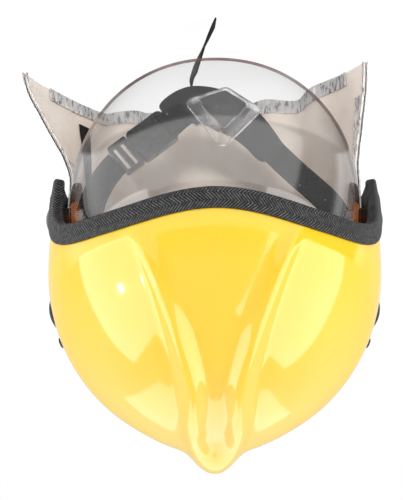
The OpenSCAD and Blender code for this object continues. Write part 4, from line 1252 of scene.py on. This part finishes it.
# A low lamp in front that reaches under the rim, to the strap and the cape's lining
beam = bpy.data.lights.new("low_beam", "SPOT")
beam.energy = 106
beam.spot_size = math.radians(12.4)
beam.spot_blend = 0.5
beam.shadow_soft_size = 0.12
lamp(beam, (0.02, -1.9, 0.0), (-0.012, 0, -0.235)).visible_glossy = False

# World: white where it is seen, dimmer as light, and mirrored brighter above than at the helmet's height

WORLD_LIGHT = 0.45
world = bpy.data.worlds.new("surroundings")
bpy.context.scene.world = world
world.use_nodes = True
sky = Nodes(world.node_tree)
_, _, height = sky.split(sky.coord("Generated"))
mirrored = sky.times(sky.ray("Is Glossy Ray"), sky.span(height, 0.0, 0.4, 0.7, 1.1))
background = sky.add("Background")
background.inputs["Color"].default_value = (1, 1, 1, 1)
level = sky.math("MAXIMUM", sky.math("MAXIMUM", sky.seen(), mirrored), WORLD_LIGHT)
sky.put(background.inputs["Strength"], level)
sky.wire(background.outputs[0], sky.add("OutputWorld").inputs["Surface"])

# Floor: white where it is seen, and in mirrors a painted shadow, dimmer close to the helmet than further out

FLOOR_HALF = 2.6
FLOOR_DROP = 0.001
PAINTED_SHADOW_HALVES = (0.33, 0.27)


def floor_white():
    look = Look("floor")
    look.set(Base_Color=(0.86, 0.86, 0.86, 1), Roughness=0.8)
    distance = look.add("VectorMath", operation="LENGTH")
    look.put(distance.inputs[0], look.scale(look.coord(), (1 / PAINTED_SHADOW_HALVES[0], 1 / PAINTED_SHADOW_HALVES[1], 0)))
    far = look.span(distance.outputs["Value"], 0.97, 1.03, 0.0, 1.0)
    # Bearings in radians, 0 in front and positive at the helmet's left. A gap at its right stays dim, as
    # painted shade in mirrors.
    x, y, _ = look.split(look.coord())
    bearing = look.math("ARCTAN2", x, look.times(y, -1.0))
    open_side = look.math("MAXIMUM", look.span(bearing, -1.16, -1.08, 0.0, 1.0),
                          look.span(bearing, -1.9, -1.8, 1.0, 0.0))
    behind = look.span(look.math("ABSOLUTE", bearing), 1.85, 2.05, 1.0, 0.5)
    # Painted shadow for mirrors: the floor's reflection is dim near the helmet and in a gap at its right, and
    # dimmer behind it.
    mirrored = look.times(look.span(look.times(open_side, far), 0.0, 1.0, 0.14, 1.5), behind)
    seen = look.seen()
    glow = look.add("Emission")
    look.put(glow.inputs["Strength"], look.math("MAXIMUM", look.times(seen, 1.09), mirrored))
    glowing = look.math("MAXIMUM", seen, look.ray("Is Glossy Ray"))
    look.show(look.mixed(look.times(glowing, 0.85), look.bsdf.outputs[0], glow.outputs[0]))
    return look.mat


floor_z = cad_box[0].z - FLOOR_DROP
corners = ((-1, -1), (1, -1), (1, 1), (-1, 1))
mesh = bpy.data.meshes.new("floor")
mesh.from_pydata([(x * FLOOR_HALF, y * FLOOR_HALF, floor_z) for x, y in corners], [], [(0, 1, 2, 3)])
mesh.materials.append(floor_white())
floor = place("floor", mesh)

bpy.context.scene.view_settings.view_transform = "Standard"
